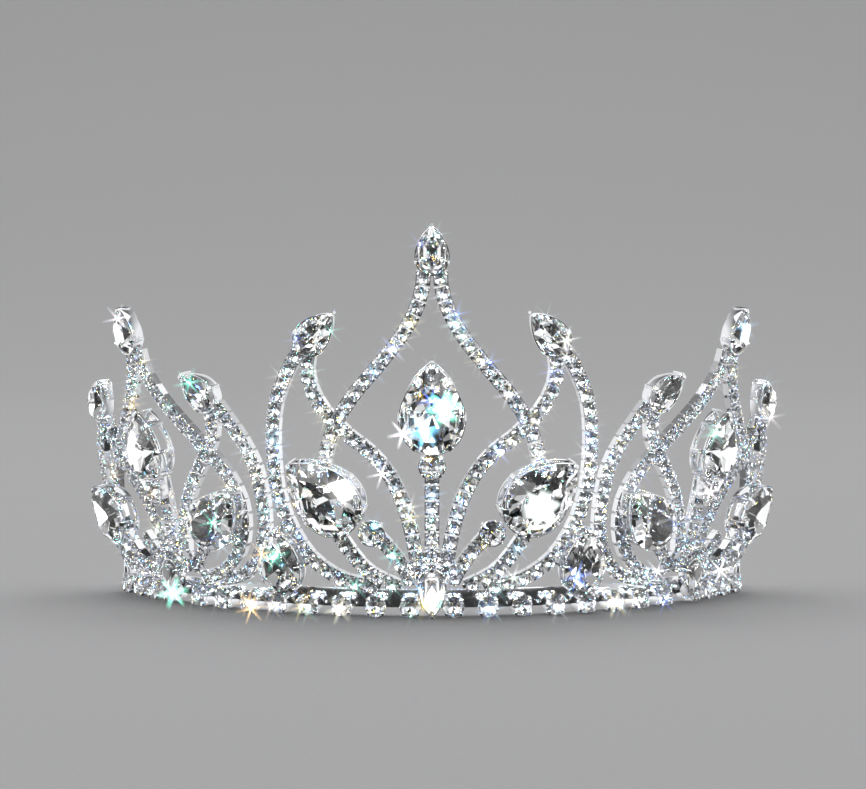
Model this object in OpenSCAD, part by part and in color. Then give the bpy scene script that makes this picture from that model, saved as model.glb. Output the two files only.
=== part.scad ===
// Rhinestone tiara: a leaning wall of stone-set strands on a curved base band.
// Three fans of the same design stand side by side, a tall one in the middle
// and a lower one on each side. Every fan has an ogee arch, two petals, a main
// pear on a stem, two side pears and a drop pear over the fan's foot.
// The part stands on its base cups. Width is X, the front faces -Y, up is +Z.

/* [Base] */
// Radius of the strand surface at floor level
ring_r = 70; // [69:0.5:74]
// Outward lean of the wall in degrees
flare = 9.5; // [8:0.5:11]
// Half of the arc that the base band covers, in degrees
band_half = 69.5; // [69:0.5:72]
// Height of the base band
band_h = 3.8; // [3.4:0.1:4.2]
// Thickness of the base band
band_t = 0.8; // [0.6:0.1:1]
// Height of the band's lower edge above the floor
band_z = 1.6; // [1.2:0.1:2]
// Radius of a base stone's cup
base_cup_r = 2.1; // [1.9:0.05:2.15]
// Length of a base stone's cup
base_cup_l = 3.1; // [2.8:0.1:3.3]
// Radius of a base stone
base_stone_r = 1.7; // [1.4:0.05:1.75]

/* [Strands] */
// Thickness of a stone-set strand across its corners
strand_d = 2.8; // [2.2:0.1:2.9]
// Thickness of the small halo strand round a drop pear
halo_d = 1.9; // [1.5:0.1:2.1]
// Radius of the halo in the middle fan
halo_r = 4.3; // [4:0.1:4.6]
// Width of the flat strip behind a fan
strip_w = 1.6; // [1.2:0.1:2]
// Thickness of that strip
strip_t = 0.7; // [0.5:0.1:0.9]

/* [Side fans] */
// Place of a side fan's foot along the base arc, in degrees from the front
side_at = 45.65; // [45.2:0.05:46.4]
// Height of a side fan's foot on the wall
side_v = 4.9; // [4.9:0.1:5.6]
// Outward lean of a side fan in the plane of the wall, in degrees
side_lean = 6; // [5:0.5:7]

/* [Settings] */
// Thickness of a setting's wall
cup_wall = 0.35; // [0.3:0.05:0.5]
// Air left between a stone and its setting
air = 0.14; // [0.12:0.01:0.2]
// Depth of a stone below its girdle, as a share of its width
pavilion = 0.33; // [0.25:0.01:0.36]
// Height of a stone above its girdle, as a share of its width
crown = 0.17; // [0.12:0.01:0.2]
// Width of the table, as a share of the stone's width
table = 0.58; // [0.5:0.01:0.65]
// Height that a claw stands above its setting's rim
claw_h = 0.8; // [0.4:0.1:1]
// Width of a claw
claw_w = 0.7; // [0.5:0.1:0.9]
// Thickness of a claw at its head
claw_t = 0.5; // [0.4:0.05:0.6]

/* [End loops] */
// Outer radius of the loop at each end of the band
loop_r = 2.5; // [2.2:0.1:2.6]
// Radius of the loop's hole
loop_hole_r = 1.4; // [1:0.1:1.6]
// Thickness of the loop
loop_t = 0.9; // [0.7:0.1:1.1]

/* [Hidden] */

// Moves the middle of the whole part's box to the origin
y_shift = 52.24;
// Distance of the band's middle behind the strand surface, at floor level
band_in = 1.9;
// Start of a base cup in front of the band's middle, and of the recess in it
base_cup_at = 0.35;
base_recess_at = 2.05;
// Place of a base stone's girdle in front of the band's middle, its depth and its crown
base_girdle_at = 3.2;
base_deep = 0.9;
base_high = 0.7;
// Foot of a side fan along the base arc, in millimetres
side_u = side_at * PI / 180 * ring_r;
// Height on a side fan at which its lean is fully taken up
lean_full = 38;
// Angles of the base stones on each side of the front, in degrees
base_at = [3.4, 8.9, 14.4, 19.9, 25.3, 30.6, 35.9, 41.2, 48.4, 53.4, 58.3, 63.2];

// Strands, as points along the arc and up the wall, from top to foot.
// The right half of each fan is listed, and the left half mirrors it.
centre_ogee = [
    // along, up
    [1.4, 69], [1.65, 65.5], [2.9, 61], [5.4, 56], [9.3, 50.4], [13.6, 44.8],
    [17.0, 39.2], [19.3, 33], [20.3, 26.5], [19.2, 20], [16.4, 14.4], [12.2, 9.2], [6.2, 6]
];
centre_inner = [
    [21.5, 52.5], [21.9, 49.5], [21.4, 45.8], [19.4, 41.5], [15.3, 36.8], [11.4, 33.4],
    [8.2, 29.4], [5.7, 24.2], [4.1, 18.6], [3.0, 12.5], [2.4, 7.6]
];
centre_outer = [
    [23.0, 53.4], [24.9, 50.6], [26.9, 46.6], [28.5, 42.4], [29.4, 37], [29.7, 31],
    [29.4, 25], [27.6, 18.4], [23.6, 11.8], [17.6, 7.6], [10.4, 5.9]
];
centre_stem = [[0, 30], [0, 24], [0, 18], [0, 12], [0, 6.4]];
centre_side_stem = [[10.2, 16.4], [7.4, 13], [5.1, 9.5], [3.9, 6.9]];

side_ogee = [
    [1.3, 47.6], [1.6, 44.4], [2.8, 41], [5.2, 37], [8.6, 32.8], [12, 29],
    [15, 25.6], [18, 21.6], [19.8, 16.5], [19.2, 10.8], [16.2, 5.8], [11.6, 2.4], [6.0, 1.1]
];
side_inner = [
    [16.6, 34.9], [16.7, 31.6], [15.7, 28.7], [13.5, 25.9], [10.8, 22.6], [8.0, 19],
    [5.6, 15], [4.0, 11], [2.9, 7], [2.2, 3]
];
// The half of a side fan next to the middle fan is a little narrower
side_near = [
    [18.5, 35.4], [20.5, 32], [22.6, 28.2], [24.2, 24], [24.7, 19.6], [24.6, 15],
    [23.7, 10.4], [21.4, 5.8], [17.2, 2.4], [10.6, 1.0]
];
side_outer = [
    [18.5, 35.4], [20.6, 32], [22.8, 28.2], [24.2, 24], [24.8, 19.6], [25.2, 15],
    [25.2, 10.4], [23.8, 5.6], [19.6, 2.2], [11.5, 1.0]
];
side_stem = [[0, 18.6], [0, 13.6], [0, 8.6], [0, 2]];
side_side_stem = [[10.4, 8.8], [7.4, 5.8], [4.2, 2.6]];

// Settings: along, up, turn of the tip, length, width, depth of the cup's
// floor in front of the strand surface, sides of the stone's outline.
// A turn of 0 points the tip up and a positive turn is anticlockwise.
apex = [0, 73.1, 0, 8.7, 5.7, -0.6, 12];
tip_pear = [19.7, 57.0, 44, 9.8, 5.9, -0.6, 12];
main_pear = [0, 42.5, 0, 17, 12, -0.8, 16];
side_pear = [19.2, 25.5, -46, 17, 12, 0.8, 16];
main_round = [0, 31.1, 0, 4.4, 4.4, 0.8, 12];
side_round = [10.9, 17.6, 0, 4.4, 4.4, 0.8, 12];
drop_pear = [0, 5.75, 180, 9.0, 4.7, 1.0, 12];
column_pear = [28.6, 11.6, -2, 12.4, 8.2, 0.7, 14];
side_apex = [0, 51.7, 0, 8.7, 5.7, -0.6, 12];
side_tip = [15.9, 38.4, 43, 9.2, 5.9, -0.6, 12];
side_main = [0, 28.2, 0, 13.4, 9.8, -0.6, 14];
side_side = [15.9, 14.2, -46, 13.4, 9.8, 0.8, 14];
side_main_round = [0, 19.1, 0, 4.0, 4.0, 0.8, 12];
side_drop = [0, 0.9, 180, 7.6, 4.2, 1.0, 12];

// Claw places round a large pear, as turns from the tip, and the width of
// stone from which a setting has them
pear_claws = [0, 62, 128, 232, 298];
claw_from = 7;
// Start of a claw, as a share of its setting's height
claw_foot = 0.45;
// Overlap of a claw's inner face with its setting's wall
claw_in = 0.02;
// A pear's outline narrows with this power of its turn, and is divided by its widest value
pear_point = 0.6;
pear_widest = 0.841;
// Place of a pear's culet below its middle, as a share of its length over its width
culet_drop = 0.3;
// Thickness of a stone's girdle, and its depth below the setting's rim
girdle_h = 0.3;
girdle_in = 0.25;
// A setting's height over its stone's depth, its foot and its inside as shares of the stone,
// the depth of its rim and the height of its inside above its foot
cup_over = 0.75;
foot_share = 0.97;
inside_share = 0.35;
rim_deep = 0.35;
inside_at = 0.4;
// Middle of a halo above its pear's, half of its arc, its step and its place in front of the wall
halo_up = 2.8;
halo_half = 112;
halo_step = 28;
halo_out = 1.6;
// Place of the flat strip in front of the wall, and the length of its end blocks
strip_at = -1.2;
strip_end = 0.2;
// Distance of an end loop's middle past the band's end, over its radius, and above the band's middle
loop_past = 0.2;
loop_up = 0.9;

// A place on a fan, with fan -1 left, 0 middle and 1 right: [along, up, turn]
function spot(fan, p, turn = 0) =
    fan == 0 ? [p[0], p[1], turn]
    : let (k = min(1, max(0, p[1] / lean_full)))
      [fan * (side_u + p[0] + p[1] * tan(side_lean)),
       side_v + p[1] - p[0] * tan(side_lean) * k,
       fan * (turn - side_lean * k)];
// Angle round the ring of a place along the arc
function at_angle(u) = u / ring_r * 180 / PI;
// A point of the leaning wall, out of it by w
function wall_point(u, v, w) =
    let (t = at_angle(u), r = ring_r + v * sin(flare) + w * cos(flare))
    [r * sin(t), y_shift - r * cos(t), v * cos(flare) - w * sin(flare)];
// Outward direction of the wall
function wall_out(u) =
    let (t = at_angle(u)) [cos(flare) * sin(t), -cos(flare) * cos(t), -sin(flare)];

function unit(a) = a / norm(a);

// A stone's outline, tip up and anticlockwise: a pear, or a circle where the
// length and the width are equal
function rim_point(l, w, t) =
    l == w ? [-w / 2 * sin(t), l / 2 * cos(t)]
    : [-w / 2 * sin(t) * pow(max(0, sin(t / 2)), pear_point) / pear_widest, l / 2 * cos(t)];
function rim(l, w, n, z) = [
    for (k = [0:n - 1]) let (q = rim_point(l, w, 360 * k / n)) [q[0], q[1], z]
];
function flat_list(a) = [for (b = a) for (c = b) c];

// A closed solid through rings with the same number of points
module loft(rings) {
    n = len(rings[0]);
    m = len(rings);
    polyhedron(
        points = flat_list(rings),
        faces = concat(
            [[for (k = [0:n - 1]) k]],
            [for (i = [0:m - 2]) for (k = [0:n - 1])
                [i * n + k, (i + 1) * n + k, (i + 1) * n + (k + 1) % n]],
            [for (i = [0:m - 2]) for (k = [0:n - 1])
                [i * n + k, (i + 1) * n + (k + 1) % n, i * n + (k + 1) % n]],
            [[for (k = [0:n - 1]) m * n - 1 - k]]
        )
    );
}

// A strand's solid along places on the wall, w in front of its surface
module tube(places, d, w) {
    p = [for (q = places) wall_point(q[0], q[1], w)];
    last = len(p) - 1;
    loft([
        for (i = [0:last])
            let (
                t = unit(p[min(i + 1, last)] - p[max(i - 1, 0)]),
                o = wall_out(places[i][0]),
                b = unit(cross(t, o)),
                n = cross(b, t)
            )
            [for (k = [0:7]) let (a = 22.5 + 45 * k) p[i] + d / 2 * (cos(a) * n + sin(a) * b)]
    ]);
}

// A strand of a fan, on one of its halves
module strand(fan, half, table_rows) {
    tube([for (q = table_rows) spot(fan, [half * q[0], q[1]])], strand_d, 0);
}

// Puts a child on the wall, its Z axis pointing out and its Y axis up
module on_wall(fan, half, row) {
    s = spot(fan, [half * row[0], row[1]], half * row[2]);
    translate(wall_point(s[0], s[1], row[5]))
        rotate([90 + flare, 0, at_angle(s[0])]) rotate([0, 0, s[2]]) children();
}

// Height of a setting for a stone of width w
function cup_h(w) = pavilion * w + cup_over;

// A cup that holds a stone, with claws round a large pear
module cup(l, w, n) {
    h = cup_h(w);
    loft([
        rim(l * foot_share, w * foot_share, n, 0),
        rim(l + 2 * (air + cup_wall), w + 2 * (air + cup_wall), n, h),
        rim(l + 2 * air, w + 2 * air, n, h),
        rim(l + 2 * air, w + 2 * air, n, h - rim_deep),
        rim(l * inside_share, w * inside_share, n, inside_at)
    ]);
    if (w > claw_from) for (t = pear_claws) {
        q = rim_point(l + 2 * air, w + 2 * air, t);
        a = rim_point(l, w, t - 4);
        b = rim_point(l, w, t + 4);
        turn = t == 0 ? 90 : atan2(b[1] - a[1], b[0] - a[0]) - 90;
        hull() {
            translate([q[0], q[1], h * claw_foot]) rotate([0, 0, turn])
                translate([claw_in, -claw_w / 2, 0]) cube([claw_t * 0.8, claw_w, claw_t * 0.4]);
            translate([q[0], q[1], h + claw_h - claw_t * 0.2]) rotate([0, 0, turn])
                translate([claw_in, -claw_w / 2, 0]) cube([claw_t, claw_w, claw_t * 0.2]);
        }
    }
}

// A cut stone in its cup: table, two rows of crown facets, girdle, pavilion
module gem(l, w, n, low, deep, high) {
    m = n / 2;
    culet = -(l - w) * culet_drop;
    polyhedron(
        points = concat(
            [[0, culet, low - deep]],
            rim(l, w, n, low),
            rim(l, w, n, low + girdle_h),
            [for (p = rim(l * table, w * table, m, low + girdle_h + high)) p + [0, culet / 4, 0]]
        ),
        faces = concat(
            [for (k = [0:n - 1]) [0, 1 + k, 1 + (k + 1) % n]],
            [for (k = [0:n - 1]) [1 + k, 1 + n + k, 1 + n + (k + 1) % n]],
            [for (k = [0:n - 1]) [1 + k, 1 + n + (k + 1) % n, 1 + (k + 1) % n]],
            [for (j = [0:m - 1]) [1 + n + 2 * j, 1 + 2 * n + j, 2 + n + 2 * j]],
            [for (j = [0:m - 1]) [2 + n + 2 * j, 1 + 2 * n + j, 1 + 2 * n + (j + 1) % m]],
            [for (j = [0:m - 1]) [2 + n + 2 * j, 1 + 2 * n + (j + 1) % m, 1 + n + (2 * j + 2) % n]],
            [[for (j = [0:m - 1]) 2 * n + m - j]]
        )
    );
}

// A main stone in its place on a fan
module stone(fan, half, row) {
    l = row[3];
    w = row[4];
    color("aliceblue") on_wall(fan, half, row)
        gem(l, w, row[6], cup_h(w) - girdle_in, pavilion * w, crown * w);
}

// The setting of a main stone
module setting(fan, half, row) {
    on_wall(fan, half, row) cup(row[3], row[4], row[6]);
}

// Small strand that arches over a drop pear
module halo(fan, row, r) {
    tube([
        for (a = [-halo_half:halo_step:halo_half])
            spot(fan, [row[0] + r * sin(a), row[1] + halo_up + r * cos(a)])
    ], halo_d, halo_out);
}

// Flat strip behind a fan that carries the main pear from the stem
module back_strip(fan, low, high) {
    hull() for (up = [low, high]) {
        s = spot(fan, [0, up]);
        translate(wall_point(s[0], s[1], strip_at)) rotate([90 + flare, 0, at_angle(s[0])])
            translate([-strip_w / 2, -strip_end / 2, -0.3]) cube([strip_w, strip_end, strip_t]);
    }
}

// One row of base stones' places: ring angle of each child
module round_base() {
    for (side = [-1, 1]) for (t = base_at)
        translate([0, y_shift, base_cup_r]) rotate([90, 0, side * t]) children();
}

// Curved base band, with a cup for each base stone soldered under its front
module base_band() {
    lean = tan(flare);
    mid = ring_r - band_in;
    top = band_z + band_h;
    color("silver") difference() {
        union() {
            translate([0, y_shift, 0]) rotate([0, 0, -90 - band_half])
                rotate_extrude(angle = 2 * band_half, $fn = 240)
                    polygon([
                        [mid - band_t / 2 + band_z * lean, band_z],
                        [mid + band_t / 2 + band_z * lean, band_z],
                        [mid + band_t / 2 + top * lean, top],
                        [mid - band_t / 2 + top * lean, top]
                    ]);
            round_base() translate([0, 0, mid + base_cup_at])
                cylinder(r = base_cup_r, h = base_cup_l, $fn = 48);
        }
        round_base() translate([0, 0, mid + base_recess_at])
            cylinder(r = base_stone_r + air, h = base_cup_l, $fn = 48);
    }
}

// The base stones in their cups
module base_stones() {
    color("aliceblue") round_base() translate([0, 0, ring_r - band_in + base_girdle_at])
        gem(2 * base_stone_r, 2 * base_stone_r, 8, 0, base_deep, base_high);
}

// Strands and settings of the middle fan, soldered into one piece
module centre_frame() {
    color("silver") union() {
        for (half = [-1, 1]) {
            strand(0, half, centre_ogee);
            strand(0, half, centre_inner);
            strand(0, half, centre_outer);
            strand(0, half, centre_side_stem);
            setting(0, half, tip_pear);
            setting(0, half, side_pear);
            setting(0, half, side_round);
            setting(0, half, column_pear);
        }
        strand(0, 1, centre_stem);
        setting(0, 1, apex);
        setting(0, 1, main_pear);
        setting(0, 1, main_round);
        setting(0, 1, drop_pear);
        halo(0, drop_pear, halo_r);
        back_strip(0, 14, 40);
    }
}

// Strands and settings of a side fan, soldered into one piece
module side_frame(fan) {
    color("silver") union() {
        for (half = [-1, 1]) {
            strand(fan, half, side_ogee);
            strand(fan, half, side_inner);
            strand(fan, half, half > 0 ? side_outer : side_near);
            strand(fan, half, side_side_stem);
            setting(fan, half, side_tip);
            setting(fan, half, side_side);
        }
        strand(fan, 1, side_stem);
        setting(fan, 1, side_apex);
        setting(fan, 1, side_main);
        setting(fan, 1, side_main_round);
        setting(fan, 1, side_drop);
        halo(fan, side_drop, halo_r * 0.88);
        back_strip(fan, 8, 26);
    }
}

// Flat loop at one end of the band, for a hairpin
module end_loop(side) {
    t = band_half;
    r = ring_r - band_in + (band_z + band_h / 2) * tan(flare);
    out = loop_r + loop_past;
    color("silver")
        translate([
            side * (r * sin(t) + out * cos(t) - loop_t / 2),
            y_shift - r * cos(t) + out * sin(t),
            band_z + band_h / 2 + loop_up
        ]) rotate([0, 90, 0]) translate([0, 0, side > 0 ? 0 : -loop_t]) difference() {
            cylinder(r = loop_r, h = loop_t, $fn = 64);
            translate([0, 0, -1]) cylinder(r = loop_hole_r, h = loop_t + 2, $fn = 64);
        }
}
module left_end_loop() end_loop(-1);
module right_end_loop() end_loop(1);

module centre_apex_stone() stone(0, 1, apex);
module centre_left_tip_stone() stone(0, -1, tip_pear);
module centre_right_tip_stone() stone(0, 1, tip_pear);
module centre_main_stone() stone(0, 1, main_pear);
module centre_left_stone() stone(0, -1, side_pear);
module centre_right_stone() stone(0, 1, side_pear);
module centre_main_round() stone(0, 1, main_round);
module centre_left_round() stone(0, -1, side_round);
module centre_right_round() stone(0, 1, side_round);
module centre_drop_stone() stone(0, 1, drop_pear);
module left_column_stone() stone(0, -1, column_pear);
module right_column_stone() stone(0, 1, column_pear);
module side_stone(fan, kind) {
    if (kind == "apex") stone(fan, 1, side_apex);
    if (kind == "inner_tip") stone(fan, -1, side_tip);
    if (kind == "outer_tip") stone(fan, 1, side_tip);
    if (kind == "main") stone(fan, 1, side_main);
    if (kind == "inner") stone(fan, -1, side_side);
    if (kind == "outer") stone(fan, 1, side_side);
    if (kind == "round") stone(fan, 1, side_main_round);
    if (kind == "drop") stone(fan, 1, side_drop);
}

base_band();
base_stones();
centre_frame();
side_frame(-1);  // left_frame
side_frame(1);  // right_frame
left_end_loop();
right_end_loop();
centre_apex_stone();
centre_left_tip_stone();
centre_right_tip_stone();
centre_main_stone();
centre_left_stone();
centre_right_stone();
centre_main_round();
centre_left_round();
centre_right_round();
centre_drop_stone();
left_column_stone();
right_column_stone();
side_stone(-1, "apex");  // left_apex_stone
side_stone(-1, "inner_tip");  // left_inner_tip_stone
side_stone(-1, "outer_tip");  // left_outer_tip_stone
side_stone(-1, "main");  // left_main_stone
side_stone(-1, "inner");  // left_inner_stone
side_stone(-1, "outer");  // left_outer_stone
side_stone(-1, "round");  // left_main_round
side_stone(-1, "drop");  // left_drop_stone
side_stone(1, "apex");  // right_apex_stone
side_stone(1, "inner_tip");  // right_inner_tip_stone
side_stone(1, "outer_tip");  // right_outer_tip_stone
side_stone(1, "main");  // right_main_stone
side_stone(1, "inner");  // right_inner_stone
side_stone(1, "outer");  // right_outer_stone
side_stone(1, "round");  // right_main_round
side_stone(1, "drop");  // right_drop_stone
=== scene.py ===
"""Rhinestone tiara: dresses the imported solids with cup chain, claw settings, cut stones and bright plate."""

from __future__ import annotations

import bisect
import logging
import math
import random
from dataclasses import dataclass, field
from enum import Enum
from typing import Any, Callable, Iterable, Iterator, Optional, Sequence, Union

import bmesh
import bpy
from mathutils import Matrix, Vector


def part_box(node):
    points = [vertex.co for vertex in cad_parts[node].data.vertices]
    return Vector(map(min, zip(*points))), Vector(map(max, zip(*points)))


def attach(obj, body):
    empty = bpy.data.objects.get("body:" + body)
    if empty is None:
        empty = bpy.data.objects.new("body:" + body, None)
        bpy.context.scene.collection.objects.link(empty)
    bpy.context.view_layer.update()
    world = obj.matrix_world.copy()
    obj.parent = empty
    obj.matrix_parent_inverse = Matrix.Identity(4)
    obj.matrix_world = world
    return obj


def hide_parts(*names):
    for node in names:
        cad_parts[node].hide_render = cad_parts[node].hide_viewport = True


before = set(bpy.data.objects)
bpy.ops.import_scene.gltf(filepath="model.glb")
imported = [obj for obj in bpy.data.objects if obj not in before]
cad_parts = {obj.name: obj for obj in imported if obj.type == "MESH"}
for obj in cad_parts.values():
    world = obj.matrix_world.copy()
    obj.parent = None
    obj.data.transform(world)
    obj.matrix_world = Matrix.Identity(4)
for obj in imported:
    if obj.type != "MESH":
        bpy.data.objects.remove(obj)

LOG = logging.getLogger("tiara")
MM = 0.001
HAIR = 1e-6
ROOT = "root"

Number = Union[int, float]
Table = Sequence[tuple[Number, Number]]


class Fan(Enum):
    """The three fans of the tiara, with the side of the front that each stands on."""

    LEFT = -1
    CENTRE = 0
    RIGHT = 1


class Slot(Enum):
    """Material slots of the record."""

    SILVER = "silver_alloy"
    STONE = "rhinestone"


class Shape(Enum):
    """Outlines of the cut stones."""

    ROUND = "round"
    PEAR = "pear"


# Strands of each fan as (along, up) in millimetres, from top to foot, for the right half.
CENTRE_OGEE: Table = (
    (1.4, 69), (1.65, 65.5), (2.9, 61), (5.4, 56), (9.3, 50.4), (13.6, 44.8), (17.0, 39.2),
    (19.3, 33), (20.3, 26.5), (19.2, 20), (16.4, 14.4), (12.2, 9.2), (6.2, 6),
)
CENTRE_INNER: Table = (
    (21.5, 52.5), (21.9, 49.5), (21.4, 45.8), (19.4, 41.5), (15.3, 36.8), (11.4, 33.4),
    (8.2, 29.4), (5.7, 24.2), (4.1, 18.6), (3.0, 12.5), (2.4, 7.6),
)
CENTRE_OUTER: Table = (
    (23.0, 53.4), (24.9, 50.6), (26.9, 46.6), (28.5, 42.4), (29.4, 37), (29.7, 31),
    (29.4, 25), (27.6, 18.4), (23.6, 11.8), (17.6, 7.6), (10.4, 5.9),
)
CENTRE_STEM: Table = ((0, 30), (0, 24), (0, 18), (0, 12), (0, 6.4))
CENTRE_SIDE_STEM: Table = ((10.2, 16.4), (7.4, 13), (5.1, 9.5), (3.9, 6.9))
SIDE_OGEE: Table = (
    (1.3, 47.6), (1.6, 44.4), (2.8, 41), (5.2, 37), (8.6, 32.8), (12, 29), (15, 25.6),
    (18, 21.6), (19.8, 16.5), (19.2, 10.8), (16.2, 5.8), (11.6, 2.4), (6.0, 1.1),
)
SIDE_INNER: Table = (
    (16.6, 34.9), (16.7, 31.6), (15.7, 28.7), (13.5, 25.9), (10.8, 22.6), (8.0, 19),
    (5.6, 15), (4.0, 11), (2.9, 7), (2.2, 3),
)
SIDE_NEAR: Table = (
    (18.5, 35.4), (20.5, 32), (22.6, 28.2), (24.2, 24), (24.7, 19.6), (24.6, 15),
    (23.7, 10.4), (21.4, 5.8), (17.2, 2.4), (10.6, 1.0),
)
SIDE_OUTER: Table = (
    (18.5, 35.4), (20.6, 32), (22.8, 28.2), (24.2, 24), (24.8, 19.6), (25.2, 15),
    (25.2, 10.4), (23.8, 5.6), (19.6, 2.2), (11.5, 1.0),
)
SIDE_STEM: Table = ((0, 18.6), (0, 13.6), (0, 8.6), (0, 2))
SIDE_SIDE_STEM: Table = ((10.4, 8.8), (7.4, 5.8), (4.2, 2.6))

# Angles of the base stones on each side of the front, in degrees.
BASE_ANGLES: Sequence[float] = (3.4, 8.9, 14.4, 19.9, 25.3, 30.6, 35.9, 41.2, 48.4, 53.4, 58.3, 63.2)


@dataclass(frozen=True)
class Wall:
    """The leaning wall that every strand and setting lies on, with the places of the fans on it."""

    ring_radius: float = 70 * MM
    flare: float = math.radians(9.5)
    axis_y: float = 52.24 * MM
    side_angle: float = math.radians(45.65)
    side_height: float = 4.9 * MM
    side_lean: float = math.radians(6)
    lean_height: float = 38 * MM

    def lean_share(self, up: float) -> float:
        """Gives the share of a side fan's lean that is reached at a height."""
        return min(1.0, max(0.0, up / self.lean_height))

    def spot(self, fan: Fan, along: float, up: float) -> tuple[float, float]:
        """Finds a place of a fan on the wall.

        Args:
            fan: The fan that the place belongs to.
            along: Distance from the fan's middle, away from the front on a side fan.
            up: Height above the fan's foot.

        Returns:
            The distance along the ring and the height up the wall.
        """
        if fan is Fan.CENTRE:
            return along, up
        lean = math.tan(self.side_lean)
        foot = self.side_angle * self.ring_radius
        u = fan.value * (foot + along + up * lean)
        return u, self.side_height + up - along * lean * self.lean_share(up)

    def turn(self, fan: Fan, up: float, turn: float) -> float:
        """Adds its fan's lean to the turn of a setting.

        Args:
            fan: The setting's fan.
            up: Height of the setting above the fan's foot.
            turn: The setting's turn in the fan as it is laid out flat.

        Returns:
            The turn in the wall's own plane.
        """
        if fan is Fan.CENTRE:
            return turn
        return fan.value * (turn - self.side_lean * self.lean_share(up))

    def point(self, u: float, v: float, w: float = 0.0) -> Vector:
        """Finds a point on the wall or before it.

        Args:
            u: Distance along the ring from the front.
            v: Height up the wall.
            w: Distance in front of the wall.

        Returns:
            The point in space.
        """
        angle = u / self.ring_radius
        radius = self.ring_radius + v * math.sin(self.flare) + w * math.cos(self.flare)
        height = v * math.cos(self.flare) - w * math.sin(self.flare)
        return Vector((radius * math.sin(angle), self.axis_y - radius * math.cos(angle), height))

    def outward(self, u: float) -> Vector:
        """Finds which way the wall faces.

        Args:
            u: Distance along the ring from the front.

        Returns:
            The wall's outward direction there.
        """
        angle = u / self.ring_radius
        level = math.cos(self.flare)
        return Vector((level * math.sin(angle), -level * math.cos(angle), -math.sin(self.flare)))

    def placing(self, fan: Fan, half: int, seat: Seat) -> Matrix:
        """Works out where a seat lies.

        Args:
            fan: The seat's fan.
            half: -1 for the mirrored half of the fan and 1 for the other.
            seat: The seat's place and sizes.

        Returns:
            The matrix that takes a setting from its own axes to the wall.
        """
        u, v = self.spot(fan, half * seat.along, seat.up)
        turn = self.turn(fan, seat.up, half * seat.turn)
        place = Matrix.Translation(self.point(u, v, seat.lift))
        about = Matrix.Rotation(u / self.ring_radius, 4, "Z")
        upright = Matrix.Rotation(math.radians(90) + self.flare, 4, "X")
        return place @ about @ upright @ Matrix.Rotation(turn, 4, "Z")

    def radial(self, degrees: float, height: float) -> Matrix:
        """Finds level axes that point outwards from the ring's own axis.

        Args:
            degrees: Angle round the ring from the front.
            height: Height above the floor.

        Returns:
            The axes, on the ring's axis, with Z outwards.
        """
        place = Matrix.Translation(Vector((0, self.axis_y, height)))
        about = Matrix.Rotation(math.radians(degrees), 4, "Z")
        return place @ about @ Matrix.Rotation(math.radians(90), 4, "X")


@dataclass(frozen=True)
class Seat:
    """Place and size of a setting and its stone, as rows of millimetres and degrees in the source."""

    along_mm: float
    up_mm: float
    turn_deg: float
    length_mm: float
    width_mm: float
    lift_mm: float
    claws: Sequence[float] = ()
    claw_mm: float = 0.8
    stone_grow_mm: float = 0.5
    depth_share: float = 0.33
    depth_more_mm: float = 0.75

    @property
    def along(self) -> float:
        """Distance along the wall in metres."""
        return self.along_mm * MM

    @property
    def up(self) -> float:
        """Height up the wall in metres."""
        return self.up_mm * MM

    @property
    def turn(self) -> float:
        """Turn of the tip in radians."""
        return math.radians(self.turn_deg)

    @property
    def lift(self) -> float:
        """Depth of the setting's floor in front of the strands' surface, in metres."""
        return self.lift_mm * MM

    @property
    def width(self) -> float:
        """Width of the stone in metres."""
        return self.width_mm * MM

    @property
    def outline(self) -> Outline:
        """The outline of the seat's stone."""
        shape = Shape.ROUND if self.length_mm == self.width_mm else Shape.PEAR
        return Outline(shape, self.length_mm * MM, self.width)

    @property
    def shown(self) -> Outline:
        """The outline of the stone that shows, which fills its setting up to the rim."""
        plain, grow = self.outline, self.stone_grow_mm * MM
        return Outline(plain.shape, plain.length + grow, plain.width + grow)

    @property
    def depth(self) -> float:
        """Height of the setting's rim above its floor."""
        return self.depth_share * self.width_mm * MM + self.depth_more_mm * MM


BIG_CLAWS = (0, 52, 100, 150, 210, 260, 308)
SMALL_CLAWS = (0, 118, 242)
SPLIT_CLAWS = (20, 118, 242, 340)
ROUND_CLAWS = (45, 135, 225, 315)
CENTRE_APEX = Seat(0, 73.1, 0, 8.7, 5.7, -0.6, SMALL_CLAWS, 0.7)
CENTRE_TIP = Seat(19.7, 57.0, 44, 9.8, 5.9, -0.6, SMALL_CLAWS, 0.7)
CENTRE_MAIN = Seat(0, 42.5, 0, 17, 12, -0.8, BIG_CLAWS, 1.1)
CENTRE_SIDE = Seat(19.2, 25.5, -46, 17, 12, 0.8, BIG_CLAWS, 1.1)
CENTRE_MAIN_ROUND = Seat(0, 31.1, 0, 4.4, 4.4, 0.8, ROUND_CLAWS, 0.6)
CENTRE_SIDE_ROUND = Seat(10.9, 17.6, 0, 4.4, 4.4, 0.8, ROUND_CLAWS, 0.6)
CENTRE_DROP = Seat(0, 5.75, 180, 9.0, 4.7, 1.0, SMALL_CLAWS, 0.6)
COLUMN = Seat(28.6, 11.6, -2, 12.4, 8.2, 0.7, BIG_CLAWS, 0.9)
SIDE_APEX = Seat(0, 51.7, 0, 8.7, 5.7, -0.6, SPLIT_CLAWS, 0.7)
SIDE_TIP = Seat(15.9, 38.4, 43, 9.2, 5.9, -0.6, SPLIT_CLAWS, 0.7)
SIDE_MAIN = Seat(0, 28.2, 0, 13.4, 9.8, -0.6, BIG_CLAWS, 1.0)
SIDE_SIDE = Seat(15.9, 14.2, -46, 13.4, 9.8, 0.8, BIG_CLAWS, 1.0)
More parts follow.
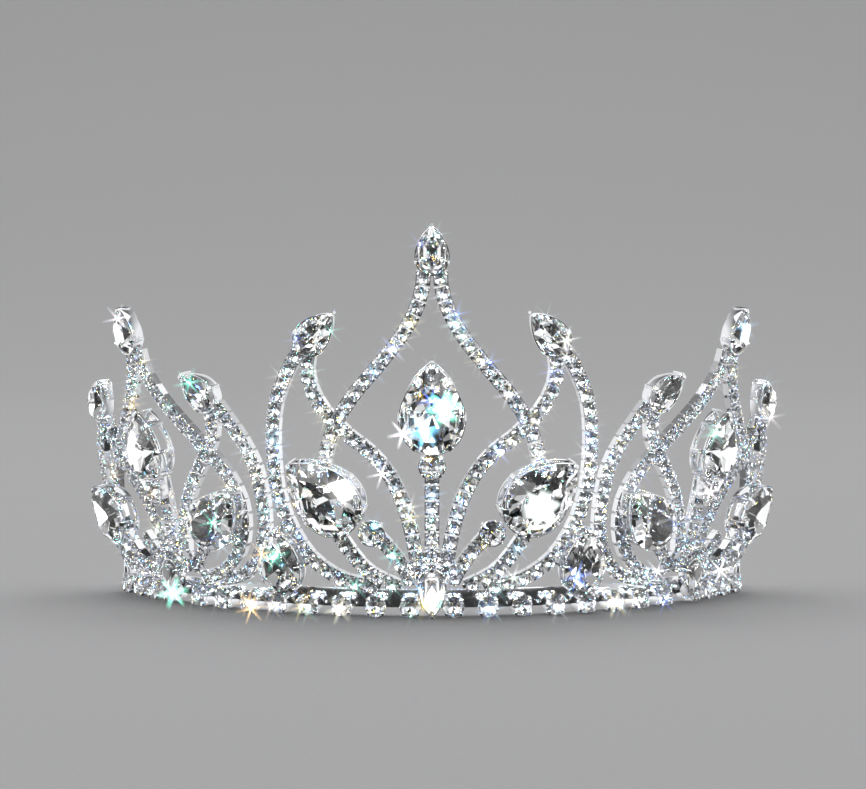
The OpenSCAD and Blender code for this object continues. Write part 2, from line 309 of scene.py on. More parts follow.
SIDE_MAIN_ROUND = Seat(0, 19.1, 0, 4.0, 4.0, 0.8, ROUND_CLAWS, 0.6)
SIDE_DROP = Seat(0, 0.9, 180, 7.6, 4.2, 1.0, SMALL_CLAWS, 0.6)


@dataclass(frozen=True)
class Outline:
    """A stone's outline, with the tip towards +Y."""

    shape: Shape
    length: float
    width: float
    fullness: float = 0.6
    widest: float = 0.841
    span: float = 2.0
    stride: int = 3

    def point(self, degrees: float, grow: float = 0.0) -> Vector:
        """Gives a point of the outline.

        Args:
            degrees: Turn from the tip, anticlockwise.
            grow: Extra distance outside the stone.

        Returns:
            The point, at height zero.
        """
        t = math.radians(degrees)
        wide = self.width / 2 + grow
        long = self.length / 2 + grow
        bulge = 1.0
        if self.shape is Shape.PEAR:
            bulge = max(0.0, math.sin(abs(t % math.tau) / 2)) ** self.fullness / self.widest
        return Vector((-wide * math.sin(t) * bulge, long * math.cos(t), 0))

    def normal(self, degrees: float) -> Vector:
        """Finds which way the outline faces.

        Args:
            degrees: Turn from the tip, anticlockwise.

        Returns:
            The level outward direction there.
        """
        if degrees % 360 == 0:
            return Vector((0, 1, 0))
        along = self.point(degrees + self.span) - self.point(degrees - self.span)
        return Vector((along.y, -along.x, 0)).normalized()

    def reach(self, direction: Vector) -> float:
        """Gives how far the outline reaches in a level direction."""
        return max(self.point(t).dot(direction) for t in range(0, 360, self.stride))

    def holds(self, x: float, y: float, scale: float) -> bool:
        """Tells whether a place lies inside the outline, scaled about its middle.

        Args:
            x: The place's distance across the stone.
            y: Its distance towards the tip.
            scale: The outline's scale.

        Returns:
            True inside the scaled outline.
        """
        share = max(-1.0, min(1.0, y / (self.length / 2 * scale)))
        if abs(y) > self.length / 2 * scale:
            return False
        edge = self.point(math.degrees(math.acos(share)))
        return abs(x) <= abs(edge.x) * scale


class Signal:
    """A shader socket that Python's operators act on by adding Math nodes."""

    def __init__(self, nodes: Nodes, socket: bpy.types.NodeSocket) -> None:
        """Keeps the tree that new nodes go to and the socket that carries the value."""
        self.nodes = nodes
        self.socket = socket

    def _math(self, operation: str, first: Any, second: Any) -> Signal:
        """Adds one Math node on two values or signals."""
        return self.nodes.node("ShaderNodeMath", {"operation": operation}, {0: first, 1: second})

    def __add__(self, other: Any) -> Signal:
        """Adds a value."""
        return self._math("ADD", self, other)

    def __radd__(self, other: Any) -> Signal:
        """Adds to a value."""
        return self._math("ADD", other, self)

    def __mul__(self, other: Any) -> Signal:
        """Multiplies by a value."""
        return self._math("MULTIPLY", self, other)

    def __rmul__(self, other: Any) -> Signal:
        """Multiplies a value."""
        return self._math("MULTIPLY", other, self)


class Nodes:
    """A node tree that is built up node by node."""

    def __init__(self, tree: bpy.types.NodeTree) -> None:
        """Keeps the tree and empties it."""
        self.tree = tree
        self.tree.nodes.clear()

    def node(self, kind: str, settings: dict, inputs: dict, output: Any = 0) -> Optional[Signal]:
        """Adds a node.

        Args:
            kind: The node's type.
            settings: Values of the node's own settings, set first.
            inputs: Values or signals of its sockets.
            output: The socket that the result is read from.

        Returns:
            The output as a signal, or nothing for a node that has none.
        """
        node = self.tree.nodes.new(kind)
        for key, value in settings.items():
            if key == "stops":
                self._stops(node.color_ramp, value)
            else:
                setattr(node, key, value)
        for key, value in inputs.items():
            self.feed(node.inputs[key], value)
        return Signal(self, node.outputs[output]) if output is not None else None

    @staticmethod
    def _stops(ramp: bpy.types.ColorRamp, stops: Sequence[tuple[float, Sequence[float]]]) -> None:
        """Sets a ramp's stops.

        Args:
            ramp: The ramp to set.
            stops: A place and a colour for each stop, in order.
        """
        while len(ramp.elements) < len(stops):
            ramp.elements.new(0.5)
        for element, (place, colour) in zip(ramp.elements, stops):
            element.position = place
            element.color = (*colour, 1.0)

    def feed(self, socket: bpy.types.NodeSocket, value: Any) -> None:
        """Feeds a socket.

        Args:
            socket: The socket to feed.
            value: A value to set on it, or a signal to link to it.
        """
        if isinstance(value, Signal):
            self.tree.links.new(value.socket, socket)
        else:
            socket.default_value = value


class Shader(Nodes):
    """A material on object coordinates."""

    def __init__(self, name: str) -> None:
        """Makes an empty material with its output and one main shader.

        Args:
            name: The material's name.
        """
        self.material = bpy.data.materials.new(name)
        self.material.use_nodes = True
        super().__init__(self.material.node_tree)
        output = self.tree.nodes.new("ShaderNodeOutputMaterial")
        self.surface = self.tree.nodes.new("ShaderNodeBsdfPrincipled")
        self.tree.links.new(self.surface.outputs["BSDF"], output.inputs["Surface"])
        self.place = self.node("ShaderNodeTexCoord", {}, {}, "Object")

    def set(self, **values: Any) -> None:
        """Sets the main shader's sockets, named with underscores for spaces."""
        for key, value in values.items():
            self.feed(self.surface.inputs[key.replace("_", " ")], value)

    def noise(self, scale: float, detail: float = 2.0) -> Signal:
        """Gives a noise on object coordinates, with its scale in cells per metre."""
        return self.node("ShaderNodeTexNoise", {}, {"Vector": self.place, "Scale": scale, "Detail": detail})

    def cells(self, scale: float) -> Signal:
        """Gives one random colour for each cell of a given count per metre."""
        return self.node("ShaderNodeTexVoronoi", {}, {"Vector": self.place, "Scale": scale}, "Color")

    def blend(self, factor: Any, first: Sequence[float], second: Sequence[float]) -> Signal:
        """Mixes two colours by a factor."""
        inputs = {"Factor": factor, 6: (*first, 1.0), 7: (*second, 1.0)}
        return self.node("ShaderNodeMix", {"data_type": "RGBA"}, inputs, 2)

    def bump(self, height: Signal, strength: float, distance: float) -> Signal:
        """Turns a height into a normal."""
        inputs = {"Height": height, "Strength": strength, "Distance": distance}
        return self.node("ShaderNodeBump", {}, inputs, "Normal")


@dataclass(frozen=True)
class BrightPlate:
    """Bright silver plate over cast or pressed alloy, with faint wear and waviness."""

    name: str = "bright_plate"
    clean: tuple[float, float, float] = (0.93, 0.94, 0.96)
    dull: tuple[float, float, float] = (0.78, 0.79, 0.82)
    dull_share: float = 0.9
    patch_scale: float = 120.0
    wear_scale: float = 900.0
    wear_detail: float = 3.0
    gloss: float = 0.07
    spread: float = 0.12
    scratch_scale: float = 5200.0
    scratch_share: float = 0.3
    ripple: float = 0.25
    ripple_depth: float = 0.05 * MM

    def make(self) -> bpy.types.Material:
        """Builds the material.

        Returns:
            The plate's material.
        """
        shader = Shader(self.name)
        worn = shader.noise(self.wear_scale, self.wear_detail)
        patch = shader.noise(self.patch_scale)
        fine = shader.noise(self.scratch_scale)
        shader.set(
            Base_Color=shader.blend(patch * self.dull_share, self.clean, self.dull),
            Roughness=self.gloss + worn * patch * self.spread,
            Metallic=1.0,
            Normal=shader.bump(worn + fine * self.scratch_share, self.ripple, self.ripple_depth),
        )
        return shader.material


@dataclass(frozen=True)
class CutGlass:
    """Clear lead glass with sharp polished facets."""

    name: str = "cut_glass"
    body: tuple[float, float, float] = (1.0, 1.0, 1.0)
    tint: tuple[float, float, float] = (0.97, 0.985, 1.0)
    tint_scale: float = 160.0
    haze: float = 0.012
    haze_scale: float = 700.0
    index: float = 1.56

    def make(self) -> bpy.types.Material:
        """Builds the material.

        Returns:
            The glass's material.
        """
        shader = Shader(self.name)
        shader.set(
            Base_Color=shader.blend(shader.noise(self.tint_scale, 1.0), self.body, self.tint),
            Roughness=shader.noise(self.haze_scale, 1.0) * self.haze,
            IOR=self.index,
            Transmission_Weight=1.0,
        )
        return shader.material


@dataclass(frozen=True)
class FoilBack:
    """Silver foil under a stone, which throws the light back through it; its colour carries painted fire, rare
    pale blue and warm cells that stand in for the coloured flashes of split light.
    """

    name: str = "foil_back"
    # Painted fire: rare pale blue and warm cells painted into the foil's colour, standing in for the coloured
    # flashes that split light gives in a cut stone.
    painted_fire: Sequence[tuple[float, tuple[float, float, float]]] = (
        (0.0, (0.90, 0.94, 1.0)), (0.08, (0.98, 0.98, 0.98)), (0.93, (0.98, 0.98, 0.98)),
        (1.0, (1.0, 0.97, 0.90)),
    )
    painted_fire_scale: float = 430.0
    gloss: float = 0.01
    grain: float = 0.03
    grain_scale: float = 900.0

    def make(self) -> bpy.types.Material:
        """Builds the material.

        Returns:
            The foil's material.
        """
        shader = Shader(self.name)
        # Each cell of the foil takes one colour of the painted fire.
        cells = shader.cells(self.painted_fire_scale)
        cell = shader.node("ShaderNodeSeparateColor", {}, {"Color": cells}, "Red")
        shader.set(
            Base_Color=shader.node("ShaderNodeValToRGB", {"stops": self.painted_fire}, {"Fac": cell}, "Color"),
            Roughness=self.gloss + shader.noise(self.grain_scale, 1.0) * self.grain,
            Metallic=1.0,
        )
        return shader.material


@dataclass(frozen=True)
class PaleFloor:
    """Matt pale paper that the tiara stands on."""

    name: str = "pale_floor"
    colour: tuple[float, float, float] = (0.37, 0.37, 0.375)
    grey: tuple[float, float, float] = (0.33, 0.33, 0.335)
    grey_share: float = 0.6
    grain_scale: float = 900.0
    grain_detail: float = 3.0
    roughness: float = 0.62
    spread: float = 0.1
    ripple: float = 0.04
    ripple_depth: float = 0.1 * MM

    def make(self) -> bpy.types.Material:
        """Builds the material.

        Returns:
            The floor's material, which gives no mirror image of the lights.
        """
        shader = Shader(self.name)
        grain = shader.noise(self.grain_scale, self.grain_detail)
        shader.set(
            Base_Color=shader.blend(grain * self.grey_share, self.colour, self.grey),
            Roughness=self.roughness + grain * self.spread,
            Specular_IOR_Level=0.0,
            Normal=shader.bump(grain, self.ripple, self.ripple_depth),
        )
        return shader.material


class Palette:
    """The finishes of the tiara, each made once."""

    def __init__(self) -> None:
        """Makes every material."""
        self.plate = BrightPlate().make()
        self.band = BrightPlate("polished_band", gloss=0.13, ripple=0.12).make()
        self.glass = CutGlass().make()
        self.foil = FoilBack().make()
        self.floor = PaleFloor().make()


class Bench:
    """Modelling steps that the makers share, each on one object."""

    @staticmethod
    def clear() -> None:
        """Leaves nothing selected, in object mode."""
        if bpy.context.object and bpy.context.object.mode != "OBJECT":
            bpy.ops.object.mode_set(mode="OBJECT")
        bpy.ops.object.select_all(action="DESELECT")

    @staticmethod
    def take(obj: bpy.types.Object) -> None:
        """Selects one object alone and makes it the active one.

        Args:
            obj: The object to work on.
        """
        Bench.clear()
        bpy.context.view_layer.objects.active = obj
        obj.select_set(True)

    @staticmethod
    def name(obj: bpy.types.Object, name: str) -> bpy.types.Object:
        """Names an object and its mesh.

        Args:
            obj: The object to name.
            name: Its new name.

        Returns:
            The same object.
        """
        obj.name = name
        obj.data.name = name
        return obj

    @staticmethod
    def started(name: str) -> bpy.types.Object:
        """Puts a new primitive's place and size into its mesh and names it."""
        bpy.ops.object.transform_apply(location=True, rotation=True, scale=True)
        return Bench.name(bpy.context.object, name)

    @staticmethod
    def box(name: str, size: Sequence[float], middle: Sequence[float] = (0, 0, 0)) -> bpy.types.Object:
        """Adds a box.

        Args:
            name: The new object's name.
            size: Its length, width and height.
            middle: Where its middle lies.

        Returns:
            The box.
        """
        Bench.clear()
        bpy.ops.mesh.primitive_cube_add(size=1, location=middle, scale=size)
        return Bench.started(name)

    @staticmethod
    def post(name: str, sides: int, radius: float, low: float, high: float) -> bpy.types.Object:
        """Adds an upright post.

        Args:
            name: The new object's name.
            sides: How many sides it has.
            radius: Its radius, to the corners.
            low: Height of its foot.
            high: Height of its head.

        Returns:
            The post.
        """
        Bench.clear()
        bpy.ops.mesh.primitive_cylinder_add(
            vertices=sides, radius=radius, depth=high - low, location=(0, 0, (low + high) / 2)
        )
        return Bench.started(name)

    @staticmethod
    def edit(obj: bpy.types.Object) -> None:
        """Enters edit mode on one object, with nothing selected.

        Args:
            obj: The object to edit.
        """
        Bench.take(obj)
        bpy.ops.object.mode_set(mode="EDIT")
        bpy.ops.mesh.select_mode(type="FACE")
        bpy.ops.mesh.select_all(action="DESELECT")

    @staticmethod
    def pick_faces(obj: bpy.types.Object, test: Callable[[bmesh.types.BMFace], bool]) -> None:
        """Selects faces in edit mode.

        Args:
            obj: The object in edit mode.
            test: Tells whether a face is to be selected.
        """
        bpy.ops.mesh.select_mode(type="FACE")
        bpy.ops.mesh.select_all(action="DESELECT")
        for face in bmesh.from_edit_mesh(obj.data).faces:
            if test(face):
                face.select_set(True)
        bmesh.update_edit_mesh(obj.data)

    @staticmethod
    def pick_level(obj: bpy.types.Object, way: int, least: float = 0.9) -> None:
        """Selects the level faces that look up, for a way of 1, or down, for -1."""
        Bench.pick_faces(obj, lambda face: way * face.normal.z > least)

    @staticmethod
    def pick_edges(obj: bpy.types.Object, test: Callable[[Vector], bool]) -> None:
        """Selects edges in edit mode.

        Args:
            obj: The object in edit mode.
            test: Tells of a place whether an edge may end there; an edge with two such ends is selected.
        """
        bpy.ops.mesh.select_mode(type="EDGE")
        bpy.ops.mesh.select_all(action="DESELECT")
        for edge in bmesh.from_edit_mesh(obj.data).edges:
            if all(test(vertex.co) for vertex in edge.verts):
                edge.select_set(True)
        bmesh.update_edit_mesh(obj.data)

    @staticmethod
    def draw_out(way: Sequence[float]) -> None:
        """Extrudes what is selected along a way."""
        bpy.ops.mesh.extrude_region_move(TRANSFORM_OT_translate={"value": tuple(way)})

    @staticmethod
    def done() -> None:
        """Points every face outwards and leaves edit mode."""
        bpy.ops.mesh.select_all(action="SELECT")
        bpy.ops.mesh.normals_make_consistent(inside=False)
        bpy.ops.object.mode_set(mode="OBJECT")

    @staticmethod
    def apply(obj: bpy.types.Object, kind: str, **settings: Any) -> None:
        """Adds a modifier, sets it and applies it.

        Args:
            obj: The object to change.
            kind: The modifier's type.
            settings: The modifier's own settings.
        """
        Bench.take(obj)
        modifier = obj.modifiers.new(kind.lower(), kind)
        for key, value in settings.items():
            setattr(modifier, key, value)
        bpy.ops.object.modifier_apply(modifier=modifier.name)

    @staticmethod
    def soften(obj: bpy.types.Object, width: float, **settings: Any) -> None:
        """Bevels an object's edges by a width, in two steps."""
        Bench.apply(obj, "BEVEL", width=width, segments=2, **settings)

    @staticmethod
    def copies(master: bpy.types.Object, places: Iterable[Matrix]) -> list[bpy.types.Object]:
        """Copies a master, every copy with a mesh of its own.

        Args:
            master: The object to copy.
            places: Where each copy goes.

        Returns:
            The copies.
        """
        made = []
        for place in places:
            mesh = master.data.copy()
            mesh.transform(place)
            obj = bpy.data.objects.new(master.name + "_copy", mesh)
            bpy.context.scene.collection.objects.link(obj)
            made.append(obj)
        return made

    @staticmethod
    def join(name: str, parts: Sequence[bpy.types.Object]) -> bpy.types.Object:
        """Joins objects into one.

        Args:
            name: Name of the joined object.
            parts: The objects to join.

        Returns:
            The joined object.
        """
        Bench.clear()
        for part in parts:
            part.select_set(True)
        bpy.context.view_layer.objects.active = parts[0]
        if len(parts) > 1:
            bpy.ops.object.join()
        return Bench.name(bpy.context.view_layer.objects.active, name)

    @staticmethod
    def discard(*objects: bpy.types.Object) -> None:
        """Removes masters that aren't part of the tiara.

        Args:
            objects: The masters.
        """
        for obj in objects:
            mesh = obj.data
            bpy.data.objects.remove(obj)
            bpy.data.meshes.remove(mesh)

    @staticmethod
    def smooth(obj: bpy.types.Object, degrees: float = 35.0) -> None:
        """Smooths the shading over every edge that is flatter than an angle."""
        Bench.take(obj)
        bpy.ops.object.shade_smooth_by_angle(angle=math.radians(degrees))

    @staticmethod
    def dress(obj: bpy.types.Object, *materials: bpy.types.Material) -> None:
        """Gives an object its materials, keeping each face's slot number.

        Args:
            obj: The object to dress.
            materials: A material for each slot.
        """
        numbers = [face.material_index for face in obj.data.polygons]
        obj.data.materials.clear()
        for material in materials:
            obj.data.materials.append(material)
        for face, number in zip(obj.data.polygons, numbers):
            face.material_index = min(number, len(materials) - 1)

    @staticmethod
    def hand_over(obj: bpy.types.Object, slot: Slot, nodes: Sequence[str] = ()) -> None:
        """Makes a finished piece ride on the tiara.

        Args:
            obj: The piece.
            slot: The record's material slot of the piece; not used.
            nodes: The solids that the piece stands for.
        """
        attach(obj, ROOT)
        if nodes:
            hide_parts(*nodes)
        LOG.info("%s: %d faces", obj.name, len(obj.data.polygons))


@dataclass(frozen=True)
class StoneCut:
    """The cutting of one stone: its girdle, table, crown and pavilion."""

    outline: Outline
    sides: int
    mains: Sequence[float] = (0, 55, 95, 135, 180, 225, 265, 305)
    broad: bool = False
    crown: float = 0.17
    pavilion: float = 0.33
    girdle: float = 0.3 * MM
    crown_slope: float = math.radians(36)
    rim_steeper: float = 1.22
    star_share: float = 0.93
    star_flatter: float = 0.58
    lower_slope: float = math.radians(46)
    culet_shift: float = 0.3
    hair: float = 1e-7
    weld: float = 0.004 * MM
    back_below: float = -0.15

    def make(self, name: str) -> bpy.types.Object:
        """Cuts the stone about the origin, with its table towards +Z and its girdle's foot at zero.

        Args:
            name: The new object's name.

        Returns:
            The stone, with its pavilion's faces in the second material slot.
        """
        width = self.outline.width
        deep, high = self.pavilion * width, self.crown * width
        stone = Bench.post(name, self.sides, 1, -deep, self.girdle + high)
        for vertex in stone.data.vertices:
            turn = math.degrees(math.atan2(-vertex.co.x, vertex.co.y))
            rim = self.outline.point(turn % 360)
            vertex.co = (rim.x, rim.y, vertex.co.z)
        Bench.edit(stone)
        culet = Vector((0, -self.culet_shift * (self.outline.length - width), 0))
        for turn in self.mains:
            self._facet(self._towards(turn), culet, deep)
        for turn in self._between():
            self._star(self._towards(turn), high)
        bpy.ops.mesh.remove_doubles(threshold=self.weld)
        Bench.done()
        for face in stone.data.polygons:
            face.material_index = 1 if face.normal.z < self.back_below else 0
        return stone

    @staticmethod
    def _towards(turn: float) -> Vector:
        """Gives the level direction at a turn from the tip."""
        return Vector((-math.sin(math.radians(turn)), math.cos(math.radians(turn)), 0))

    def _between(self) -> list[float]:
        """Lists the turns halfway between the main facets."""
        turns = list(self.mains)
        return [(a + (b - a) % 360 / 2) % 360 for a, b in zip(turns, turns[1:] + turns[:1])]

    def _facet(self, direction: Vector, culet: Vector, deep: float) -> None:
        """Grinds a main facet of the crown and the one of the pavilion under it.

        Args:
            direction: Level direction that both facets face.
            culet: Where the pavilion's facets meet, seen from above.
            deep: Depth of the pavilion.
        """
        reach = self.outline.reach(direction)
        self._cut(direction, reach, self.crown_slope, self.girdle, True)
        self._cut(direction, reach, math.atan2(deep, reach - culet.dot(direction)), 0.0, False)

    def _star(self, direction: Vector, high: float) -> None:
        """Grinds the rim facet between two mains, and the star and lower facets of a cut that has them.

        Args:
            direction: Level direction that the facets face.
            high: Height of the crown.
        """
        reach = self.outline.reach(direction)
        self._cut(direction, reach, self.crown_slope * self.rim_steeper, self.girdle, True)
        if not self.broad:
            table = (reach - high / math.tan(self.crown_slope)) * self.star_share
            self._cut(direction, table, self.crown_slope * self.star_flatter, self.girdle + high, True)
            self._cut(direction, reach, self.lower_slope, 0.0, False)

    def _cut(self, direction: Vector, distance: float, slope: float, height: float, up: bool) -> None:
        """Grinds one facet.

        Args:
            direction: Level direction that the facet faces.
            distance: Level distance of the facet from the stone's middle.
            slope: Angle between the facet and the girdle.
            height: Height at which the facet has that distance.
            up: True on the crown and False on the pavilion.
        """
        level, rise = math.sin(slope), math.cos(slope) if up else -math.cos(slope)
        bpy.ops.mesh.select_all(action="SELECT")
        bpy.ops.mesh.bisect(
            plane_co=(direction.x * distance, direction.y * distance, height),
            plane_no=(direction.x * level, direction.y * level, rise),
            use_fill=True, clear_outer=True, threshold=self.hair,
        )


@dataclass
class Jeweller:
    """Cuts each kind of stone once and sets copies of it."""

    palette: Palette
    small_round: float = 3 * MM
    small_round_sides: int = 16
    round_sides: int = 24
    small_pear: float = 7 * MM
    small_pear_sides: int = 24
    pear_sides: int = 40
    round_mains: Sequence[float] = tuple(22.5 + 45 * k for k in range(8))
    pear_mains: Sequence[float] = tuple(30 + 60 * k for k in range(6))
    sunk: float = 0.25 * MM
    masters: dict[tuple[float, float], bpy.types.Object] = field(default_factory=dict)

    def master(self, outline: Outline) -> bpy.types.Object:
        """Gives the master stone of an outline, cutting it the first time.

        Args:
            outline: The stone's outline.

        Returns:
            The master, which isn't part of the tiara itself.
        """
        key = (round(outline.length, 5), round(outline.width, 5))
        if key not in self.masters:
            self.masters[key] = self.cut(outline).make(f"stone_{len(self.masters)}")
        return self.masters[key]

    def cut(self, outline: Outline) -> StoneCut:
        """Chooses the cut of an outline: finer on a round stone, and with fewer sides on a smaller one.

        Args:
            outline: The stone's outline.

        Returns:
            The cut.
        """
        if outline.shape is Shape.ROUND:
            sides = self.small_round_sides if outline.width < self.small_round else self.round_sides
            return StoneCut(outline, sides, self.round_mains)
        if outline.width < self.small_pear:
            return StoneCut(outline, self.small_pear_sides, self.pear_mains, broad=True)
        return StoneCut(outline, self.pear_sides, broad=True)

    def set_stone(self, name: str, seat: Seat, place: Matrix, nodes: Sequence[str]) -> None:
        """Puts a main stone in its setting, a little below the rim, and hands it over."""
        lift = Matrix.Translation(Vector((0, 0, seat.depth - self.sunk)))
        self.set_row(name, seat.shown, [place @ lift], nodes)

    def set_row(
        self, name: str, outline: Outline, places: Sequence[Matrix], nodes: Sequence[str] = (),
    ) -> None:
        """Sets equal stones as one piece, dresses it and hands it over.

        Args:
            name: The piece's name.
            outline: The stones' outline.
            places: The axes of each stone.
            nodes: The solids that the piece stands for.
        """
        stones = Bench.join(name, Bench.copies(self.master(outline), places))
        Bench.dress(stones, self.palette.glass, self.palette.foil)
        Bench.hand_over(stones, Slot.STONE, nodes)

    def clear(self) -> None:
        """Removes the masters."""
        Bench.discard(*self.masters.values())
        self.masters.clear()


def quarter_turns(first: float = 0.0) -> list[Matrix]:
    """Lists four turns about the upright axis, a quarter apart from a first angle in degrees."""
    return [Matrix.Rotation(math.radians(first + 90 * k), 4, "Z") for k in range(4)]


@dataclass
class ChainLink:
    """One cup of the chain with its four prongs and the link to the next cup."""

    pitch: float = 3.0 * MM
    length: float = 2.6 * MM
    width: float = 2.84 * MM
    floor: float = -0.9 * MM
    rim: float = 0.52 * MM
    wall: float = 0.16 * MM
    recess: float = 0.6
    back_inset: float = 0.22 * MM
    back_bulge: float = 0.1 * MM
    prong_radius: float = 0.34 * MM
    prong_inset: float = 0.33 * MM
    prong_foot: float = -0.25 * MM
    prong_head: float = 0.5 * MM
    prong_push: Sequence[float] = (-0.12 * MM, -0.12 * MM, 0.14 * MM)
    prong_taper: float = 0.6
    bar: Sequence[float] = (0.9 * MM, 0.9 * MM, 0.45 * MM)
    bar_rise: float = 0.35 * MM
    bar_edge: float = 0.1 * MM

    def make(self, name: str) -> bpy.types.Object:
        """Models the cup about the origin, its chain along X and its stone facing +Z.

        Args:
            name: The new object's name.

        Returns:
            The cup, the prongs and the link as one object.
        """
        corner = self.length / 2 - self.prong_inset
        out = Matrix.Translation((corner, corner, 0))
        prong = self._prong()
        parts = [self._cup(), self._bar(), *Bench.copies(prong, [turn @ out for turn in quarter_turns()])]
        Bench.discard(prong)
        return Bench.join(name, parts)

    def _cup(self) -> bpy.types.Object:
        """Models the pressed cup: a square box with a recess for the stone and a drawn-in back.

        Returns:
            The cup.
        """
        height = self.rim - self.floor
        cup = Bench.box("cup", (self.length, self.width, height), (0, 0, (self.rim + self.floor) / 2))
        Bench.edit(cup)
        Bench.pick_level(cup, 1)
        bpy.ops.mesh.inset(thickness=self.wall)
        Bench.draw_out((0, 0, -self.recess * height))
        Bench.pick_level(cup, -1)
        bpy.ops.mesh.inset(thickness=self.back_inset)
        bpy.ops.transform.translate(value=(0, 0, -self.back_bulge))
        Bench.done()
        return cup

    def _prong(self) -> bpy.types.Object:
        """Models one prong: a short post whose head is pushed over the stone.

        Returns:
            The prong, standing on the origin's axis.
        """
        low, high = self.rim + self.prong_foot, self.rim + self.prong_head
        prong = Bench.post("prong", 4, self.prong_radius, low, high)
        Bench.edit(prong)
        Bench.pick_level(prong, 1)
        Bench.draw_out(self.prong_push)
        bpy.ops.transform.resize(value=(self.prong_taper, self.prong_taper, 1.0))
        Bench.done()
        return prong

    def _bar(self) -> bpy.types.Object:
        """Models the link between this cup and the next.

        Returns:
            The link.
        """
        bar = Bench.box("bar", self.bar, (self.pitch / 2, 0, self.floor + self.bar_rise))
        Bench.edit(bar)
        Bench.pick_level(bar, 1)
        bpy.ops.mesh.bevel(offset=self.bar_edge, segments=1, affect="EDGES")
        Bench.done()
        return bar


